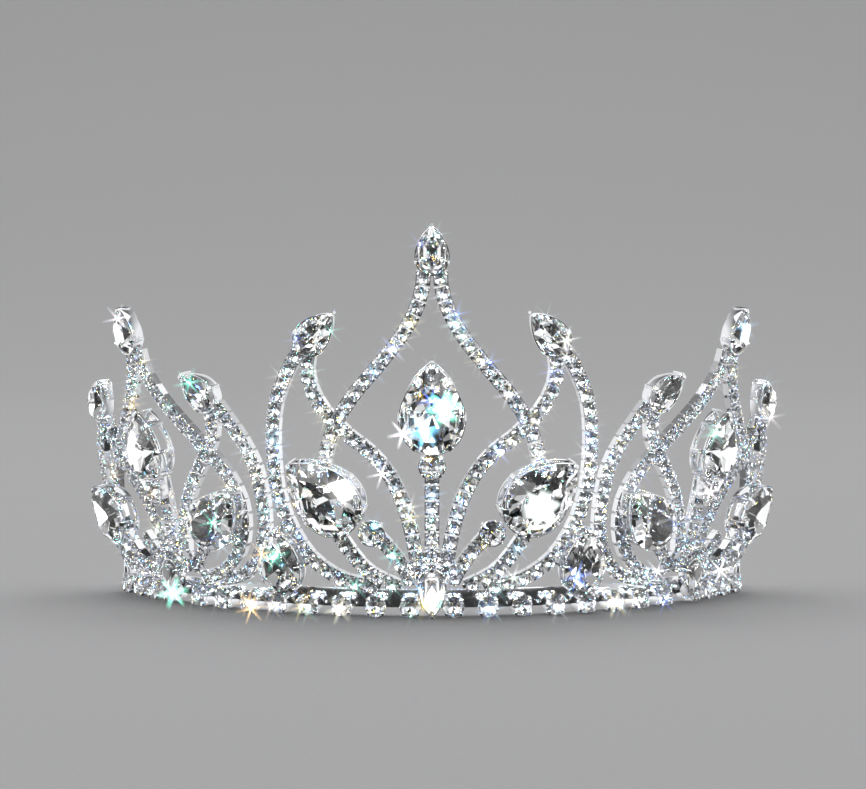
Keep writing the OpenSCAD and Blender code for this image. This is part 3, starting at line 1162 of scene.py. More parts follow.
@dataclass
class ClawSetting:
    """An open claw setting: a foot rail, a rim rail, a pierced floor and bars bent over the stone."""

    seat: Seat
    wall: float = 0.22 * MM
    gap: float = 0.27 * MM
    open_from: float = 7 * MM
    foot_rail: float = 0.75 * MM
    rim_rail: float = 0.8 * MM
    foot_gap: float = 0.02 * MM
    draw_in: float = 0.05 * MM
    rail_edge: float = 0.07 * MM
    fine_from: float = 5 * MM
    fine_sides: int = 44
    sides: int = 28
    floor_gap: float = 0.05 * MM
    floor_height: float = 0.02 * MM
    floor_share: float = 0.16
    floor_thickness: float = 0.28 * MM
    claw_thickness: float = 0.36 * MM
    claw_edge: float = 0.08 * MM
    claw_share: float = 0.9
    tip_claw_share: float = 0.85
    tip_hold_share: float = 0.6
    hold_share: float = 0.06
    hold_more: float = 0.2 * MM
    hold_slope: float = math.radians(33)
    hold_rise: float = 0.25 * MM
    side: Sequence[tuple[float, float, float]] = (
        (-0.1 * MM, 0.0, 0.1 * MM), (-0.02 * MM, 0.5, 0.0), (0.04 * MM, 1.0, -0.1 * MM),
        (-0.06 * MM, 1.0, 0.3 * MM), (-0.28 * MM, 1.0, 0.46 * MM),
    )
    end: tuple[float, float] = (-0.28 * MM, 0.12 * MM)

    def make(self) -> bpy.types.Object:
        """Models the setting about the origin, its floor at zero and its stone facing +Z.

        Returns:
            The setting as one object.
        """
        deep = self.seat.depth
        parts = [self._floor()]
        if self.open_from < self.seat.width:
            rim = deep - self.rim_rail
            parts.append(self._rail("foot_rail", 0.0, self.foot_rail, 0.0, self.foot_gap))
            parts.append(self._rail("rim_rail", rim, deep, self.gap - self.draw_in, self.gap))
        else:
            parts.append(self._rail("closed_wall", 0.0, deep, -self.draw_in, self.gap))
        parts += [self._claw(turn) for turn in self.seat.claws]
        return Bench.join("setting", parts)

    def _hoop(self, name: str, sides: int, fill: str) -> tuple[bpy.types.Object, list[float]]:
        """Starts a circle that is to follow the stone's outline.

        Args:
            name: The new object's name.
            sides: How many sides it has.
            fill: The primitive's own word for its filling.

        Returns:
            The circle, and the turn from the stone's tip of each of its corners.
        """
        Bench.clear()
        bpy.ops.mesh.primitive_circle_add(vertices=sides, radius=1, fill_type=fill)
        hoop = Bench.started(name)
        return hoop, [math.degrees(math.atan2(-v.co.x, v.co.y)) % 360 for v in hoop.data.vertices]

    def _rail(self, name: str, low: float, high: float, foot: float, head: float) -> bpy.types.Object:
        """Models a rail or wall that follows the stone's outline.

        Args:
            name: The object's name.
            low: Height of its lower edge.
            high: Height of its upper edge.
            foot: Distance of the lower edge's inner face outside the stone.
            head: The same distance at the upper edge.

        Returns:
            The closed rail.
        """
        sides = self.fine_sides if self.seat.width > self.fine_from else self.sides
        rail, turns = self._hoop(name, sides, "NOTHING")
        Bench.edit(rail)
        Bench.pick_edges(rail, lambda place: True)
        Bench.draw_out((0, 0, high - low))
        Bench.done()
        for vertex in rail.data.vertices:
            upper = vertex.index >= sides
            spot = self.seat.outline.point(turns[vertex.index % sides], (head if upper else foot) + self.wall)
            vertex.co = (spot.x, spot.y, high if upper else low)
        Bench.apply(rail, "SOLIDIFY", thickness=self.wall, offset=self._inwards(rail))
        Bench.soften(rail, self.rail_edge, limit_method="ANGLE")
        return rail

    @staticmethod
    def _inwards(rail: bpy.types.Object) -> float:
        """Finds the offset that thickens a rail towards its middle.

        Args:
            rail: The rail, still without a thickness.

        Returns:
            The modifier's offset.
        """
        face = rail.data.polygons[0]
        outwards = face.normal.x * face.center.x + face.normal.y * face.center.y > 0
        return -1.0 if outwards else 1.0

    def _floor(self) -> bpy.types.Object:
        """Models the floor: a plate with an opening behind the stone's back.

        Returns:
            The plate.
        """
        plate, turns = self._hoop("floor", self.sides, "NGON")
        for vertex, turn in zip(plate.data.vertices, turns):
            spot = self.seat.outline.point(turn, self.floor_gap)
            vertex.co = (spot.x, spot.y, self.floor_height)
        Bench.edit(plate)
        bpy.ops.mesh.select_all(action="SELECT")
        bpy.ops.mesh.inset(thickness=self.seat.width * self.floor_share)
        bpy.ops.mesh.delete(type="FACE")
        Bench.done()
        Bench.apply(plate, "SOLIDIFY", thickness=self.floor_thickness, offset=0.0)
        return plate

    def _claw(self, turn: float) -> bpy.types.Object:
        """Models a claw: a flat bar up the side of the setting, bent over the edge of the stone.

        Args:
            turn: The claw's turn from the stone's tip, in degrees.

        Returns:
            The claw in its place.
        """
        deep, tip = self.seat.depth, turn == 0
        over = self.hold_share * self.seat.width + self.hold_more
        over *= self.tip_hold_share if tip else 1.0
        rise = self.hold_rise + over * math.tan(self.hold_slope)
        profile = [Vector((out, 0, share * deep + more)) for out, share, more in self.side]
        profile.append(Vector((self.end[0] - over, 0, deep + rise + self.end[1])))
        wide = self.seat.claw_mm * MM * (self.tip_claw_share if tip else self.claw_share)
        bar = self._ribbon("claw", profile, wide)
        out = self.seat.outline.normal(turn)
        spot = self.seat.outline.point(turn, self.gap + self.wall)
        bar.data.transform(Matrix.Translation(spot) @ Matrix.Rotation(math.atan2(out.y, out.x), 4, "Z"))
        return bar

    def _ribbon(self, name: str, profile: Sequence[Vector], wide: float) -> bpy.types.Object:
        """Models a flat bar that follows a profile.

        Args:
            name: The object's name.
            profile: Points outwards and up, from the foot on.
            wide: The bar's width.

        Returns:
            The bar, facing +X, about the origin.
        """
        Bench.clear()
        bpy.ops.mesh.primitive_plane_add(size=1)
        bar = Bench.started(name)
        for vertex in bar.data.vertices:
            across = Vector((0, wide / 2 if vertex.co.y > 0 else -wide / 2, 0))
            vertex.co = profile[0 if vertex.co.x < 0 else 1] + across
        Bench.edit(bar)
        for last, place in zip(profile[1:], profile[2:]):
            Bench.pick_edges(bar, lambda spot: (Vector((spot.x, 0, spot.z)) - last).length < HAIR)
            Bench.draw_out(place - last)
        Bench.done()
        Bench.apply(bar, "SOLIDIFY", thickness=self.claw_thickness, offset=0.0)
        Bench.soften(bar, self.claw_edge, limit_method="ANGLE")
        return bar


@dataclass
class Strand:
    """A run of cup chain along a smooth curve on the wall."""

    wall: Wall
    fan: Fan
    half: int
    table: Table
    step: float = 3.0 * MM
    lift: float = 0.0
    pieces: int = 16
    tries: int = 15
    tightest: float = 0.9
    ahead: int = 3
    behind: int = 4

    def places(self, blocked: Callable[[Vector], bool]) -> list[Matrix]:
        """Spreads cups evenly over each stretch of the curve that is free.

        Args:
            blocked: Tells whether a cup's middle may not lie at a point.

        Returns:
            The axes of each cup, its chain along X and its stone facing +Z.
        """
        spots = [self.wall.spot(self.fan, a, b) for a, b in self._curve()]
        points = [self.wall.point(u, v, self.lift) for u, v in spots]
        runs = [0.0]
        for one, two in zip(points, points[1:]):
            runs.append(runs[-1] + (two - one).length)
        margin, fine = self.step / 2, self.step / self.tries
        tries = [margin + k * fine for k in range(int((runs[-1] - 2 * margin) / fine) + 1)]
        free = [not blocked(self._axes(spots, points, runs, want).translation) for want in tries]
        made = []
        for start, end in self._stretches(free):
            for want in self._spread(tries[start], tries[end]):
                made.append(self._axes(spots, points, runs, want))
        return made

    def _curve(self) -> Iterator[tuple[float, float]]:
        """Follows a smooth curve through the table's points.

        Returns:
            Close places of the curve, in metres.
        """
        rows = [(self.half * a * MM, b * MM) for a, b in self.table]
        rows = [rows[0], *rows, rows[-1]]
        for before, start, end, after in zip(rows, rows[1:], rows[2:], rows[3:]):
            for k in range(self.pieces):
                share = k / self.pieces
                yield tuple(self._between(*axis, share) for axis in zip(before, start, end, after))
        yield rows[-1]

    @staticmethod
    def _between(a: float, b: float, c: float, d: float, t: float) -> float:
        """Gives a value on the smooth curve between b and c."""
        bend = (2 * a - 5 * b + 4 * c - d) * t * t + (3 * b - a - 3 * c + d) * t ** 3
        return 0.5 * (2 * b + (c - a) * t + bend)

    @staticmethod
    def _stretches(free: Sequence[bool]) -> list[tuple[int, int]]:
        """Finds the unbroken stretches of true values.

        Args:
            free: The values.

        Returns:
            The first and the last number of each stretch.
        """
        stretches = []
        for k, value in enumerate(free):
            if value and (k == 0 or not free[k - 1]):
                stretches.append((k, k))
            elif value:
                stretches[-1] = (stretches[-1][0], k)
        return stretches

    def _spread(self, start: float, end: float) -> list[float]:
        """Spaces cups over a stretch, close to the chain's own pitch.

        Args:
            start: Distance of the stretch's start along the curve.
            end: Distance of its end.

        Returns:
            The distance of each cup.
        """
        gaps = round((end - start) / self.step)
        if gaps and (end - start) / gaps < self.tightest * self.step:
            gaps -= 1
        if not gaps:
            return [(start + end) / 2]
        return [start + k * (end - start) / gaps for k in range(gaps + 1)]

    def _axes(
        self, spots: Sequence[tuple[float, float]], points: Sequence[Vector], runs: Sequence[float],
        want: float,
    ) -> Matrix:
        """Gives the axes of a cup at a distance along the curve.

        Args:
            spots: Places of the curve on the wall.
            points: The same places in space.
            runs: Their distances along the curve.
            want: The cup's distance along the curve.

        Returns:
            The cup's axes.
        """
        i = min(max(1, bisect.bisect_left(runs, want)), len(runs) - 1)
        share = (want - runs[i - 1]) / max(HAIR * MM, runs[i] - runs[i - 1])
        middle = points[i - 1].lerp(points[i], share)
        outward = self.wall.outward(spots[i][0])
        along = points[min(i + self.ahead, len(points) - 1)] - points[max(i - self.behind, 0)]
        across = outward.cross(along).normalized()
        along = across.cross(outward).normalized()
        axes = Matrix((along, across, outward)).transposed().to_4x4()
        return Matrix.Translation(middle) @ axes


@dataclass
class FanFrame:
    """One fan: its strands of cup chain, its settings with their stones, and its backing strip."""

    wall: Wall
    fan: Fan
    palette: Palette
    jeweller: Jeweller
    link: bpy.types.Object
    strands: Sequence[tuple[int, Table]]
    seats: Sequence[tuple[int, Seat, str]]
    drop: Seat
    halo_mm: float
    strip_mm: tuple[float, float]
    stone_width: float = 2.7 * MM
    stone_rise: float = 0.5 * MM
    stone_tilt: float = 3.0
    crowd: float = 2.15 * MM
    high_mm: float = 0.5
    hidden_share: float = 0.8
    halo_share: float = 0.74
    halo_half: int = 112
    halo_turn: int = 14
    halo_rise_mm: float = 2.8
    halo_pitch: float = 2.25 * MM
    halo_lift: float = 1.7 * MM
    strip_back: float = 1.15 * MM
    strip_width: float = 1.6 * MM
    strip_thickness: float = 0.6 * MM
    strip_edge: float = 0.14 * MM
    taken: list[Vector] = field(default_factory=list)
    covers: list[tuple[Matrix, Outline]] = field(default_factory=list)

    @property
    def name(self) -> str:
        """The fan's name in lower case."""
        return self.fan.name.lower()

    def build(self) -> None:
        """Builds and dresses every piece of the fan."""
        places = self._lay()
        cups = Bench.join(f"{self.name}_chain_cups", Bench.copies(self.link, places))
        self._hand_over(cups, [f"{self.name}_frame"])
        chance = random.Random(f"chain {self.name}")
        tilted = [place @ self._tilt(chance) for place in places]
        outline = Outline(Shape.ROUND, self.stone_width, self.stone_width)
        self.jeweller.set_row(f"{self.name}_chain_stones", outline, tilted)
        self._hand_over(self._settings())
        self._hand_over(self._strip())
        for half, seat, stone in self.seats:
            place = self.wall.placing(self.fan, half, seat)
            self.jeweller.set_stone(f"{stone}_cut", seat, place, [stone])

    def _hand_over(self, piece: bpy.types.Object, nodes: Sequence[str] = ()) -> None:
        """Plates a piece of the fan and hands it over."""
        Bench.dress(piece, self.palette.plate)
        Bench.hand_over(piece, Slot.SILVER, nodes)

    def _blocked(self, middle: Vector) -> bool:
        """Tells whether a cup would lie on another cup or be hidden under a setting.

        Args:
            middle: The cup's middle.

        Returns:
            True where no cup goes.
        """
        if any((middle - other).length < self.crowd for other in self.taken):
            return True
        for place, outline in self.covers:
            local = place @ middle
            if outline.holds(local.x, local.y, self.hidden_share):
                return True
        return False

    def _lay(self) -> list[Matrix]:
        """Lays out the cup chain of every strand, and then the halo.

        Returns:
            The axes of each cup.
        """
        places = []
        high = [(half, seat) for half, seat, _ in self.seats if seat.lift_mm > self.high_mm]
        self.covers = [(self.wall.placing(self.fan, *one).inverted(), one[1].outline) for one in high]
        for half, table in self.strands:
            laid = Strand(self.wall, self.fan, half, table).places(self._blocked)
            places += laid
            self.taken += [place.translation for place in laid]
        return places + [place @ Matrix.Scale(self.halo_share, 4) for place in self._halo()]

    def _halo(self) -> list[Matrix]:
        """Lays the small chain round the drop stone.

        Returns:
            The axes of each cup, still at full size.
        """
        table = []
        for degrees in range(-self.halo_half, self.halo_half + 1, self.halo_turn):
            angle = math.radians(degrees)
            along = self.drop.along_mm + self.halo_mm * math.sin(angle)
            table.append((along, self.drop.up_mm + self.halo_rise_mm + self.halo_mm * math.cos(angle)))
        chain = Strand(self.wall, self.fan, 1, table, self.halo_pitch, self.halo_lift)
        return chain.places(lambda middle: False)

    def _tilt(self, chance: random.Random) -> Matrix:
        """Gives the small chance turn and tilt of a stone in its cup, and its height there.

        Args:
            chance: Where the random numbers come from.

        Returns:
            The stone's axes in its cup.
        """
        spin = Matrix.Rotation(chance.uniform(0, math.tau), 4, "Z")
        lean = Matrix.Rotation(math.radians(chance.gauss(0, self.stone_tilt)), 4, "X")
        side = Matrix.Rotation(math.radians(chance.gauss(0, self.stone_tilt)), 4, "Y")
        return Matrix.Translation((0, 0, self.stone_rise)) @ lean @ side @ spin

    def _settings(self) -> bpy.types.Object:
        """Models the fan's claw settings as one soldered piece.

        Returns:
            The settings.
        """
        masters: dict[Seat, bpy.types.Object] = {}
        parts = []
        for half, seat, _ in self.seats:
            if seat not in masters:
                masters[seat] = ClawSetting(seat).make()
            parts += Bench.copies(masters[seat], [self.wall.placing(self.fan, half, seat)])
        piece = Bench.join(f"{self.name}_settings", parts)
        Bench.discard(*masters.values())
        Bench.smooth(piece)
        return piece

    def _strip(self) -> bpy.types.Object:
        """Models the flat strip behind the fan that carries the main stone's setting.

        Returns:
            The strip.
        """
        low, high = (self.wall.spot(self.fan, 0, up * MM) for up in self.strip_mm)
        foot, head = (self.wall.point(*place, -self.strip_back) for place in (low, high))
        outward = self.wall.outward(low[0])
        across = outward.cross((head - foot).normalized())
        strip = Bench.box(f"{self.name}_strip", (self.strip_width, self.strip_thickness, 1))
        for vertex in strip.data.vertices:
            end = head if vertex.co.z > 0 else foot
            vertex.co = end + across * vertex.co.x + outward * vertex.co.y
        Bench.soften(strip, self.strip_edge)
        Bench.smooth(strip)
        return strip


@dataclass
class Band:
    """The base band with its row of round stones in prong cups."""

    wall: Wall
    palette: Palette
    jeweller: Jeweller
    half_angle: float = 69.5
    bends: int = 110
    inset: float = 1.9 * MM
    thickness: float = 0.8 * MM
    low: float = 1.6 * MM
    high: float = 5.4 * MM
    weld: float = 0.002 * MM
    edge: float = 0.16 * MM
    stone_width: float = 4.14 * MM
    stone_rise: float = 3.36 * MM
    cup_middle: float = 2.1 * MM
    cup_radius: float = 2.07 * MM
    cup_sides: int = 24
    cup_foot: float = 0.4 * MM
    cup_rim: float = 3.35 * MM
    foot_edge: float = 0.35 * MM
    cup_wall: float = 0.1 * MM
    recess: float = 1.4 * MM
    prong: Sequence[float] = (0.5 * MM, 0.75 * MM, 1.4 * MM)
    prong_place: tuple[float, float] = (2.16 * MM, -0.2 * MM)
    prong_push: Sequence[float] = (-0.34 * MM, 0, 0.2 * MM)
    prong_taper: Sequence[float] = (0.7, 0.75, 1.0)
    prong_edge: float = 0.1 * MM

    @property
    def middle(self) -> float:
        """Radius of the band's middle at floor level."""
        return self.wall.ring_radius - self.inset

    def build(self) -> None:
        """Builds and dresses the strip, the cups and the stones."""
        strip = self._strip()
        Bench.dress(strip, self.palette.band)
        Bench.hand_over(strip, Slot.SILVER, ["base_band"])
        cups = self._cups()
        Bench.dress(cups, self.palette.plate)
        Bench.hand_over(cups, Slot.SILVER)
        outline = Outline(Shape.ROUND, self.stone_width, self.stone_width)
        lift = Matrix.Translation((0, 0, self.middle + self.stone_rise))
        places = [place @ lift for place in self._places()]
        self.jeweller.set_row("base_row_stones", outline, places, ["base_stones"])

    def _places(self) -> list[Matrix]:
        """Gives the level axes of every base stone."""
        angles = [side * angle for side in (-1, 1) for angle in BASE_ANGLES]
        return [self.wall.radial(angle, self.cup_middle) for angle in angles]

    def _strip(self) -> bpy.types.Object:
        """Models the bent strip by spinning its section round the ring's axis.

        Returns:
            The strip.
        """
        Bench.clear()
        bpy.ops.mesh.primitive_plane_add(size=1)
        strip = Bench.started("band_strip")
        lean = math.tan(self.wall.flare)
        axis = Vector((0, self.wall.axis_y, 0))
        about = Matrix.Rotation(math.radians(self.half_angle), 4, "Z")
        for vertex in strip.data.vertices:
            height = self.high if vertex.co.y > 0 else self.low
            radius = self.middle + height * lean + self.thickness * vertex.co.x
            vertex.co = axis + about @ Vector((0, -radius, height))
        Bench.edit(strip)
        bpy.ops.mesh.select_all(action="SELECT")
        sweep = math.radians(2 * self.half_angle)
        bpy.ops.mesh.spin(steps=self.bends, angle=sweep, center=tuple(axis), axis=(0, 0, 1))
        bpy.ops.mesh.select_all(action="SELECT")
        bpy.ops.mesh.remove_doubles(threshold=self.weld)
        Bench.done()
        Bench.soften(strip, self.edge)
        Bench.smooth(strip)
        return strip

    def _cups(self) -> bpy.types.Object:
        """Models one prong cup and copies it under every base stone.

        Returns:
            The cups as one object.
        """
        cup, prong = self._cup(), self._prong()
        master = Bench.join("base_cup", [cup, *Bench.copies(prong, quarter_turns(45))])
        cups = Bench.join("base_cups", Bench.copies(master, self._places()))
        Bench.discard(prong, master)
        Bench.smooth(cups)
        return cups

    def _cup(self) -> bpy.types.Object:
        """Models a round cup with a bevelled foot and a recess for the stone.

        Returns:
            The cup, at its distance from the ring's axis.
        """
        foot, rim = self.middle + self.cup_foot, self.middle + self.cup_rim
        cup = Bench.post("base_cup", self.cup_sides, self.cup_radius, foot, rim)
        Bench.edit(cup)
        Bench.pick_level(cup, -1)
        bpy.ops.mesh.bevel(offset=self.foot_edge, segments=2, affect="EDGES")
        Bench.pick_level(cup, 1)
        bpy.ops.mesh.inset(thickness=self.cup_wall)
        Bench.draw_out((0, 0, -self.recess))
        Bench.done()
        return cup

    def _prong(self) -> bpy.types.Object:
        """Models a broad prong on the cup's rim, pushed over the stone.

        Returns:
            The prong, beside the cup.
        """
        out, rise = self.prong_place
        prong = Bench.box("base_prong", self.prong, (out, 0, self.middle + self.cup_rim + rise))
        Bench.edit(prong)
        Bench.pick_level(prong, 1)
        Bench.draw_out(self.prong_push)
        bpy.ops.transform.resize(value=self.prong_taper)
        Bench.done()
        Bench.soften(prong, self.prong_edge)
        return prong


@dataclass
class EndLoop:
    """The hairpin loop at one end of the band."""

    node: str
    palette: Palette
    wire: float = 0.45 * MM
    bends: int = 40
    sides: int = 12
    flat_turn: float = 60.0

    def build(self) -> None:
        """Models the loop as a rounded wire ring that fills its solid's place."""
        low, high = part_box(self.node)
        outer = (high.z - low.z) / 2
        Bench.clear()
        bpy.ops.mesh.primitive_torus_add(
            major_radius=outer - self.wire, minor_radius=self.wire, major_segments=self.bends,
            minor_segments=self.sides, location=(low + high) / 2, rotation=(0, math.radians(90), 0),
        )
        loop = Bench.started(f"{self.node}_wire")
        Bench.smooth(loop, self.flat_turn)
        Bench.dress(loop, self.palette.plate)
        Bench.hand_over(loop, Slot.SILVER, [self.node])


@dataclass(frozen=True)
class StarGlare:
    """The small coloured stars that a lens draws round the brightest glints."""

    threshold: float = 2.4
    brightest: float = 40.0
    strength: float = 0.8
    saturation: float = 1.0
    rays: int = 6
    turn: float = math.radians(12)
    repeats: int = 2
    fade: float = 0.84
    rainbow: float = 0.25

    def add(self) -> None:
        """Adds the glare to the scene's picture."""
        scene = bpy.context.scene
        scene.use_nodes = True
        nodes = Nodes(scene.node_tree)
        inputs = {
            "Image": nodes.node("CompositorNodeRLayers", {}, {}, "Image"), "Threshold": self.threshold,
            "Clamp": True, "Maximum": self.brightest, "Strength": self.strength,
            "Saturation": self.saturation, "Streaks": self.rays, "Streaks Angle": self.turn,
            "Iterations": self.repeats, "Fade": self.fade, "Color Modulation": self.rainbow,
        }
        settings = {"glare_type": "STREAKS", "quality": "HIGH"}
        stars = nodes.node("CompositorNodeGlare", settings, inputs, "Image")
        nodes.node("CompositorNodeComposite", {}, {"Image": stars}, None)


@dataclass
class Studio:
    """The camera, floor and lights round the tiara."""

    wall: Wall
    palette: Palette
    distance: float = 0.600
    eye: float = 0.0726
    pitch: float = math.radians(3.12)
    sensor: float = 36.0
    focal_px: float = 2715.0
    frame_px: tuple[int, int] = (866, 789)
    middle_px: float = 432.0
    nearest: float = 0.01
    floor_half: float = 2.0
    floor_wider: float = 3.0
    floor_front: float = 4.0
    backdrop: float = 2.5
    sweep: float = 1.2
    sweep_steps: int = 16
    flat_turn: float = 60.0
    aim: Sequence[float] = (0, 0, 0.035)
    boxes: Sequence[tuple[str, Sequence[float], tuple[float, float], float]] = (
        ("key", (-0.50, -0.72, 0.60), (0.60, 0.50), 3.1),
        ("fill", (0.60, -0.62, 0.42), (0.50, 0.50), 2.8),
        ("top", (0.0, -0.10, 0.95), (1.10, 0.60), 1.3),
        ("back", (0.0, 1.15, 0.62), (2.0, 0.50), 0.4),
        ("front_left", (-0.42, -0.85, 0.16), (0.50, 0.40), 1.0),
        ("front_right", (0.42, -0.85, 0.16), (0.50, 0.40), 1.0),
        ("front_low", (-0.10, -0.80, 0.06), (0.60, 0.12), 1.6),
    )
    wash_place: Sequence[float] = (0.0, 0.30, 1.70)
    wash_size: tuple[float, float] = (3.2, 2.6)
    wash_glow: float = 2.05
    glint_colours: Sequence[tuple[float, float, float]] = (
        (1.0, 0.80, 0.14), (1.0, 0.64, 0.24), (0.24, 1.0, 0.74), (0.18, 0.62, 1.0), (1.0, 1.0, 1.0),
        (0.12, 0.26, 1.0), (1.0, 0.98, 0.94),
    )
    glints: int = 42
    glint_size: float = 0.03
    glint_glow: float = 72.0
    glint_far: float = 0.85
    glint_turns: tuple[float, float] = (-75, 75)
    glint_rises: tuple[float, float] = (4, 58)
    room: Sequence[tuple[float, float]] = ((0.22, 0.035), (0.50, 0.46), (0.85, 1.0))
    back_share: float = 0.5
    bounces: int = 14
    mirror_bounces: int = 10
    brightest_bounce: float = 150.0

    def build(self) -> None:
        """Adds everything that isn't the tiara."""
        self._camera()
        self._floor()
        self._world()
        self._lights()
        StarGlare().add()
        bpy.context.scene.view_settings.view_transform = "Standard"
        rays = bpy.context.scene.cycles
        rays.max_bounces = rays.transmission_bounces = self.bounces
        rays.glossy_bounces = self.mirror_bounces
        rays.sample_clamp_indirect = self.brightest_bounce

    def _camera(self) -> None:
        """Puts the camera where the photograph was taken from."""
        wide, _ = self.frame_px
        data = bpy.data.cameras.new("camera")
        data.sensor_width = self.sensor
        data.lens = self.focal_px * self.sensor / wide
        data.shift_x = (wide / 2 - self.middle_px) / wide
        data.clip_start = self.nearest
        camera = bpy.data.objects.new("camera", data)
        camera.location = (0, self.wall.axis_y - self.distance, self.eye)
        camera.rotation_euler = (math.radians(90) - self.pitch, 0, 0)
        bpy.context.scene.collection.objects.link(camera)
        bpy.context.scene.camera = camera

    def _floor(self) -> None:
        """Models the floor, wider than any view shows, with its back swept up behind the tiara."""
        edge = self.floor_half - HAIR
        Bench.clear()
        bpy.ops.mesh.primitive_plane_add(size=2 * self.floor_half)
        floor = Bench.started("floor")
        Bench.edit(floor)
        bpy.ops.mesh.select_all(action="SELECT")
        bpy.ops.transform.resize(value=(self.floor_wider, 1.0, 1.0))
        Bench.pick_edges(floor, lambda place: place.y < -edge)
        bpy.ops.transform.translate(value=(0, -self.floor_front, 0))
        Bench.pick_edges(floor, lambda place: place.y > edge)
        Bench.draw_out((0, 0, self.backdrop))
        Bench.pick_edges(floor, lambda place: place.y > edge and abs(place.z) < HAIR)
        bpy.ops.mesh.bevel(offset=self.sweep, segments=self.sweep_steps, affect="EDGES")
        Bench.done()
        Bench.smooth(floor, self.flat_turn)
        Bench.dress(floor, self.palette.floor)
        floor.visible_glossy = floor.visible_transmission = False

    def _world(self) -> None:
        """Gives the room bright sides and back, and a dark front."""
        world = bpy.data.worlds.new("room")
        world.use_nodes = True
        nodes = Nodes(world.node_tree)
        way = nodes.node("ShaderNodeTexCoord", {}, {}, "Generated")
        across = nodes.node("ShaderNodeSeparateXYZ", {}, {"Vector": way}, "X")
        back = nodes.node("ShaderNodeSeparateXYZ", {}, {"Vector": way}, "Y")
        share = across * across + back * self.back_share
        stops = [(place, (grey,) * 3) for place, grey in self.room]
        glow = nodes.node("ShaderNodeValToRGB", {"stops": stops}, {"Fac": share}, "Color")
        room = nodes.node("ShaderNodeBackground", {}, {"Color": glow})
        nodes.node("ShaderNodeOutputWorld", {}, {"Surface": room}, None)
        bpy.context.scene.world = world

    def _light(
        self, name: str, place: Sequence[float], size: tuple[float, float], glow: float,
        colour: Sequence[float] = (1.0, 1.0, 1.0),
    ) -> bpy.types.Object:
        """Adds a soft box that faces the tiara.

        Args:
            name: The light's name.
            place: Where it stands.
            size: Its width and height.
            glow: How bright its face is.
            colour: The colour of its light.

        Returns:
            The light.
        """
        data = bpy.data.lights.new(name, "AREA")
        data.shape = "RECTANGLE"
        data.size, data.size_y = size
        data.energy = glow * math.pi * size[0] * size[1]
        data.color = colour
        lamp = bpy.data.objects.new(name, data)
        lamp.location = place
        way = Vector(self.aim) - Vector(place)
        lamp.rotation_euler = way.to_track_quat("-Z", "Y").to_euler()
        bpy.context.scene.collection.objects.link(lamp)
        return lamp

    def _lights(self) -> None:
        """Adds the soft boxes, the floor's wash and the small lamps that make the stones sparkle."""
        for name, place, size, glow in self.boxes:
            self._light(name, place, size, glow).visible_diffuse = False
        wash = self._light("floor_wash", self.wash_place, self.wash_size, self.wash_glow)
        wash.visible_glossy = wash.visible_transmission = False
        chance = random.Random("glints")
        size = (self.glint_size, self.glint_size)
        for number in range(self.glints):
            turn = math.radians(chance.uniform(*self.glint_turns))
            rise = math.radians(chance.uniform(*self.glint_rises))
            level = self.glint_far * math.cos(rise)
            place = (level * math.sin(turn), -level * math.cos(turn), self.glint_far * math.sin(rise))
            colour = self.glint_colours[number % len(self.glint_colours)]
            self._light(f"glint_{number}", place, size, self.glint_glow, colour).visible_diffuse = False


def both_halves(*tables: Table) -> list[tuple[int, Table]]:
    """Lists tables for the left half and for the right half of a fan."""
    return [(half, table) for table in tables for half in (-1, 1)]


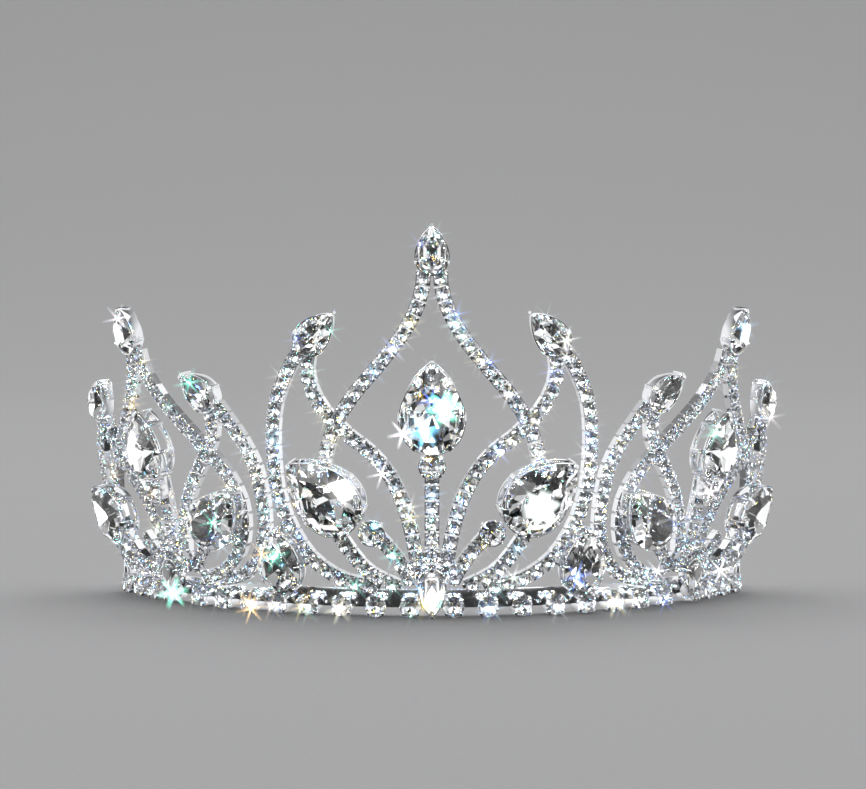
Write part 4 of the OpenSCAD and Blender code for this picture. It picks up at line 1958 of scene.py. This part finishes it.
def side_fan(wall: Wall, fan: Fan, palette: Palette, jeweller: Jeweller, link: bpy.types.Object) -> FanFrame:
    """Describes a side fan.

    Args:
        wall: The wall that it lies on.
        fan: Which side it is.
        palette: The finishes.
        jeweller: The maker of its stones.
        link: The master of its chain.

    Returns:
        The fan, ready to build.
    """
    name = fan.name.lower()
    strands = [
        *both_halves(SIDE_INNER, SIDE_OGEE), (1, SIDE_OUTER), (-1, SIDE_NEAR), (1, SIDE_STEM),
        *both_halves(SIDE_SIDE_STEM),
    ]
    seats = [
        (1, SIDE_APEX, f"{name}_apex_stone"), (-1, SIDE_TIP, f"{name}_inner_tip_stone"),
        (1, SIDE_TIP, f"{name}_outer_tip_stone"), (1, SIDE_MAIN, f"{name}_main_stone"),
        (-1, SIDE_SIDE, f"{name}_inner_stone"), (1, SIDE_SIDE, f"{name}_outer_stone"),
        (1, SIDE_MAIN_ROUND, f"{name}_main_round"), (1, SIDE_DROP, f"{name}_drop_stone"),
    ]
    return FanFrame(
        wall, fan, palette, jeweller, link, strands, seats, drop=SIDE_DROP, halo_mm=3.78, strip_mm=(8, 26)
    )


def centre_fan(wall: Wall, palette: Palette, jeweller: Jeweller, link: bpy.types.Object) -> FanFrame:
    """Describes the middle fan, with the two column stones beside it.

    Args:
        wall: The wall that it lies on.
        palette: The finishes.
        jeweller: The maker of its stones.
        link: The master of its chain.

    Returns:
        The fan, ready to build.
    """
    strands = [
        *both_halves(CENTRE_INNER, CENTRE_OGEE, CENTRE_OUTER), (1, CENTRE_STEM),
        *both_halves(CENTRE_SIDE_STEM),
    ]
    seats = [
        (1, CENTRE_APEX, "centre_apex_stone"), (-1, CENTRE_TIP, "centre_left_tip_stone"),
        (1, CENTRE_TIP, "centre_right_tip_stone"), (1, CENTRE_MAIN, "centre_main_stone"),
        (-1, CENTRE_SIDE, "centre_left_stone"), (1, CENTRE_SIDE, "centre_right_stone"),
        (1, CENTRE_MAIN_ROUND, "centre_main_round"), (-1, CENTRE_SIDE_ROUND, "centre_left_round"),
        (1, CENTRE_SIDE_ROUND, "centre_right_round"), (1, CENTRE_DROP, "centre_drop_stone"),
        (-1, COLUMN, "left_column_stone"), (1, COLUMN, "right_column_stone"),
    ]
    return FanFrame(
        wall, Fan.CENTRE, palette, jeweller, link, strands, seats, drop=CENTRE_DROP, halo_mm=4.3,
        strip_mm=(14, 40),
    )


def main() -> None:
    """Builds the tiara piece by piece, then its studio."""
    logging.basicConfig(level=logging.INFO, format="%(message)s")
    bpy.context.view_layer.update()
    wall = Wall()
    palette = Palette()
    jeweller = Jeweller(palette)
    link = ChainLink().make("chain_link")
    centre_fan(wall, palette, jeweller, link).build()
    for fan in (Fan.LEFT, Fan.RIGHT):
        side_fan(wall, fan, palette, jeweller, link).build()
    Band(wall, palette, jeweller).build()
    for node in ("left_end_loop", "right_end_loop"):
        EndLoop(node, palette).build()
    Bench.discard(link)
    jeweller.clear()
    Studio(wall, palette).build()


if __name__ == "__main__":
    main()
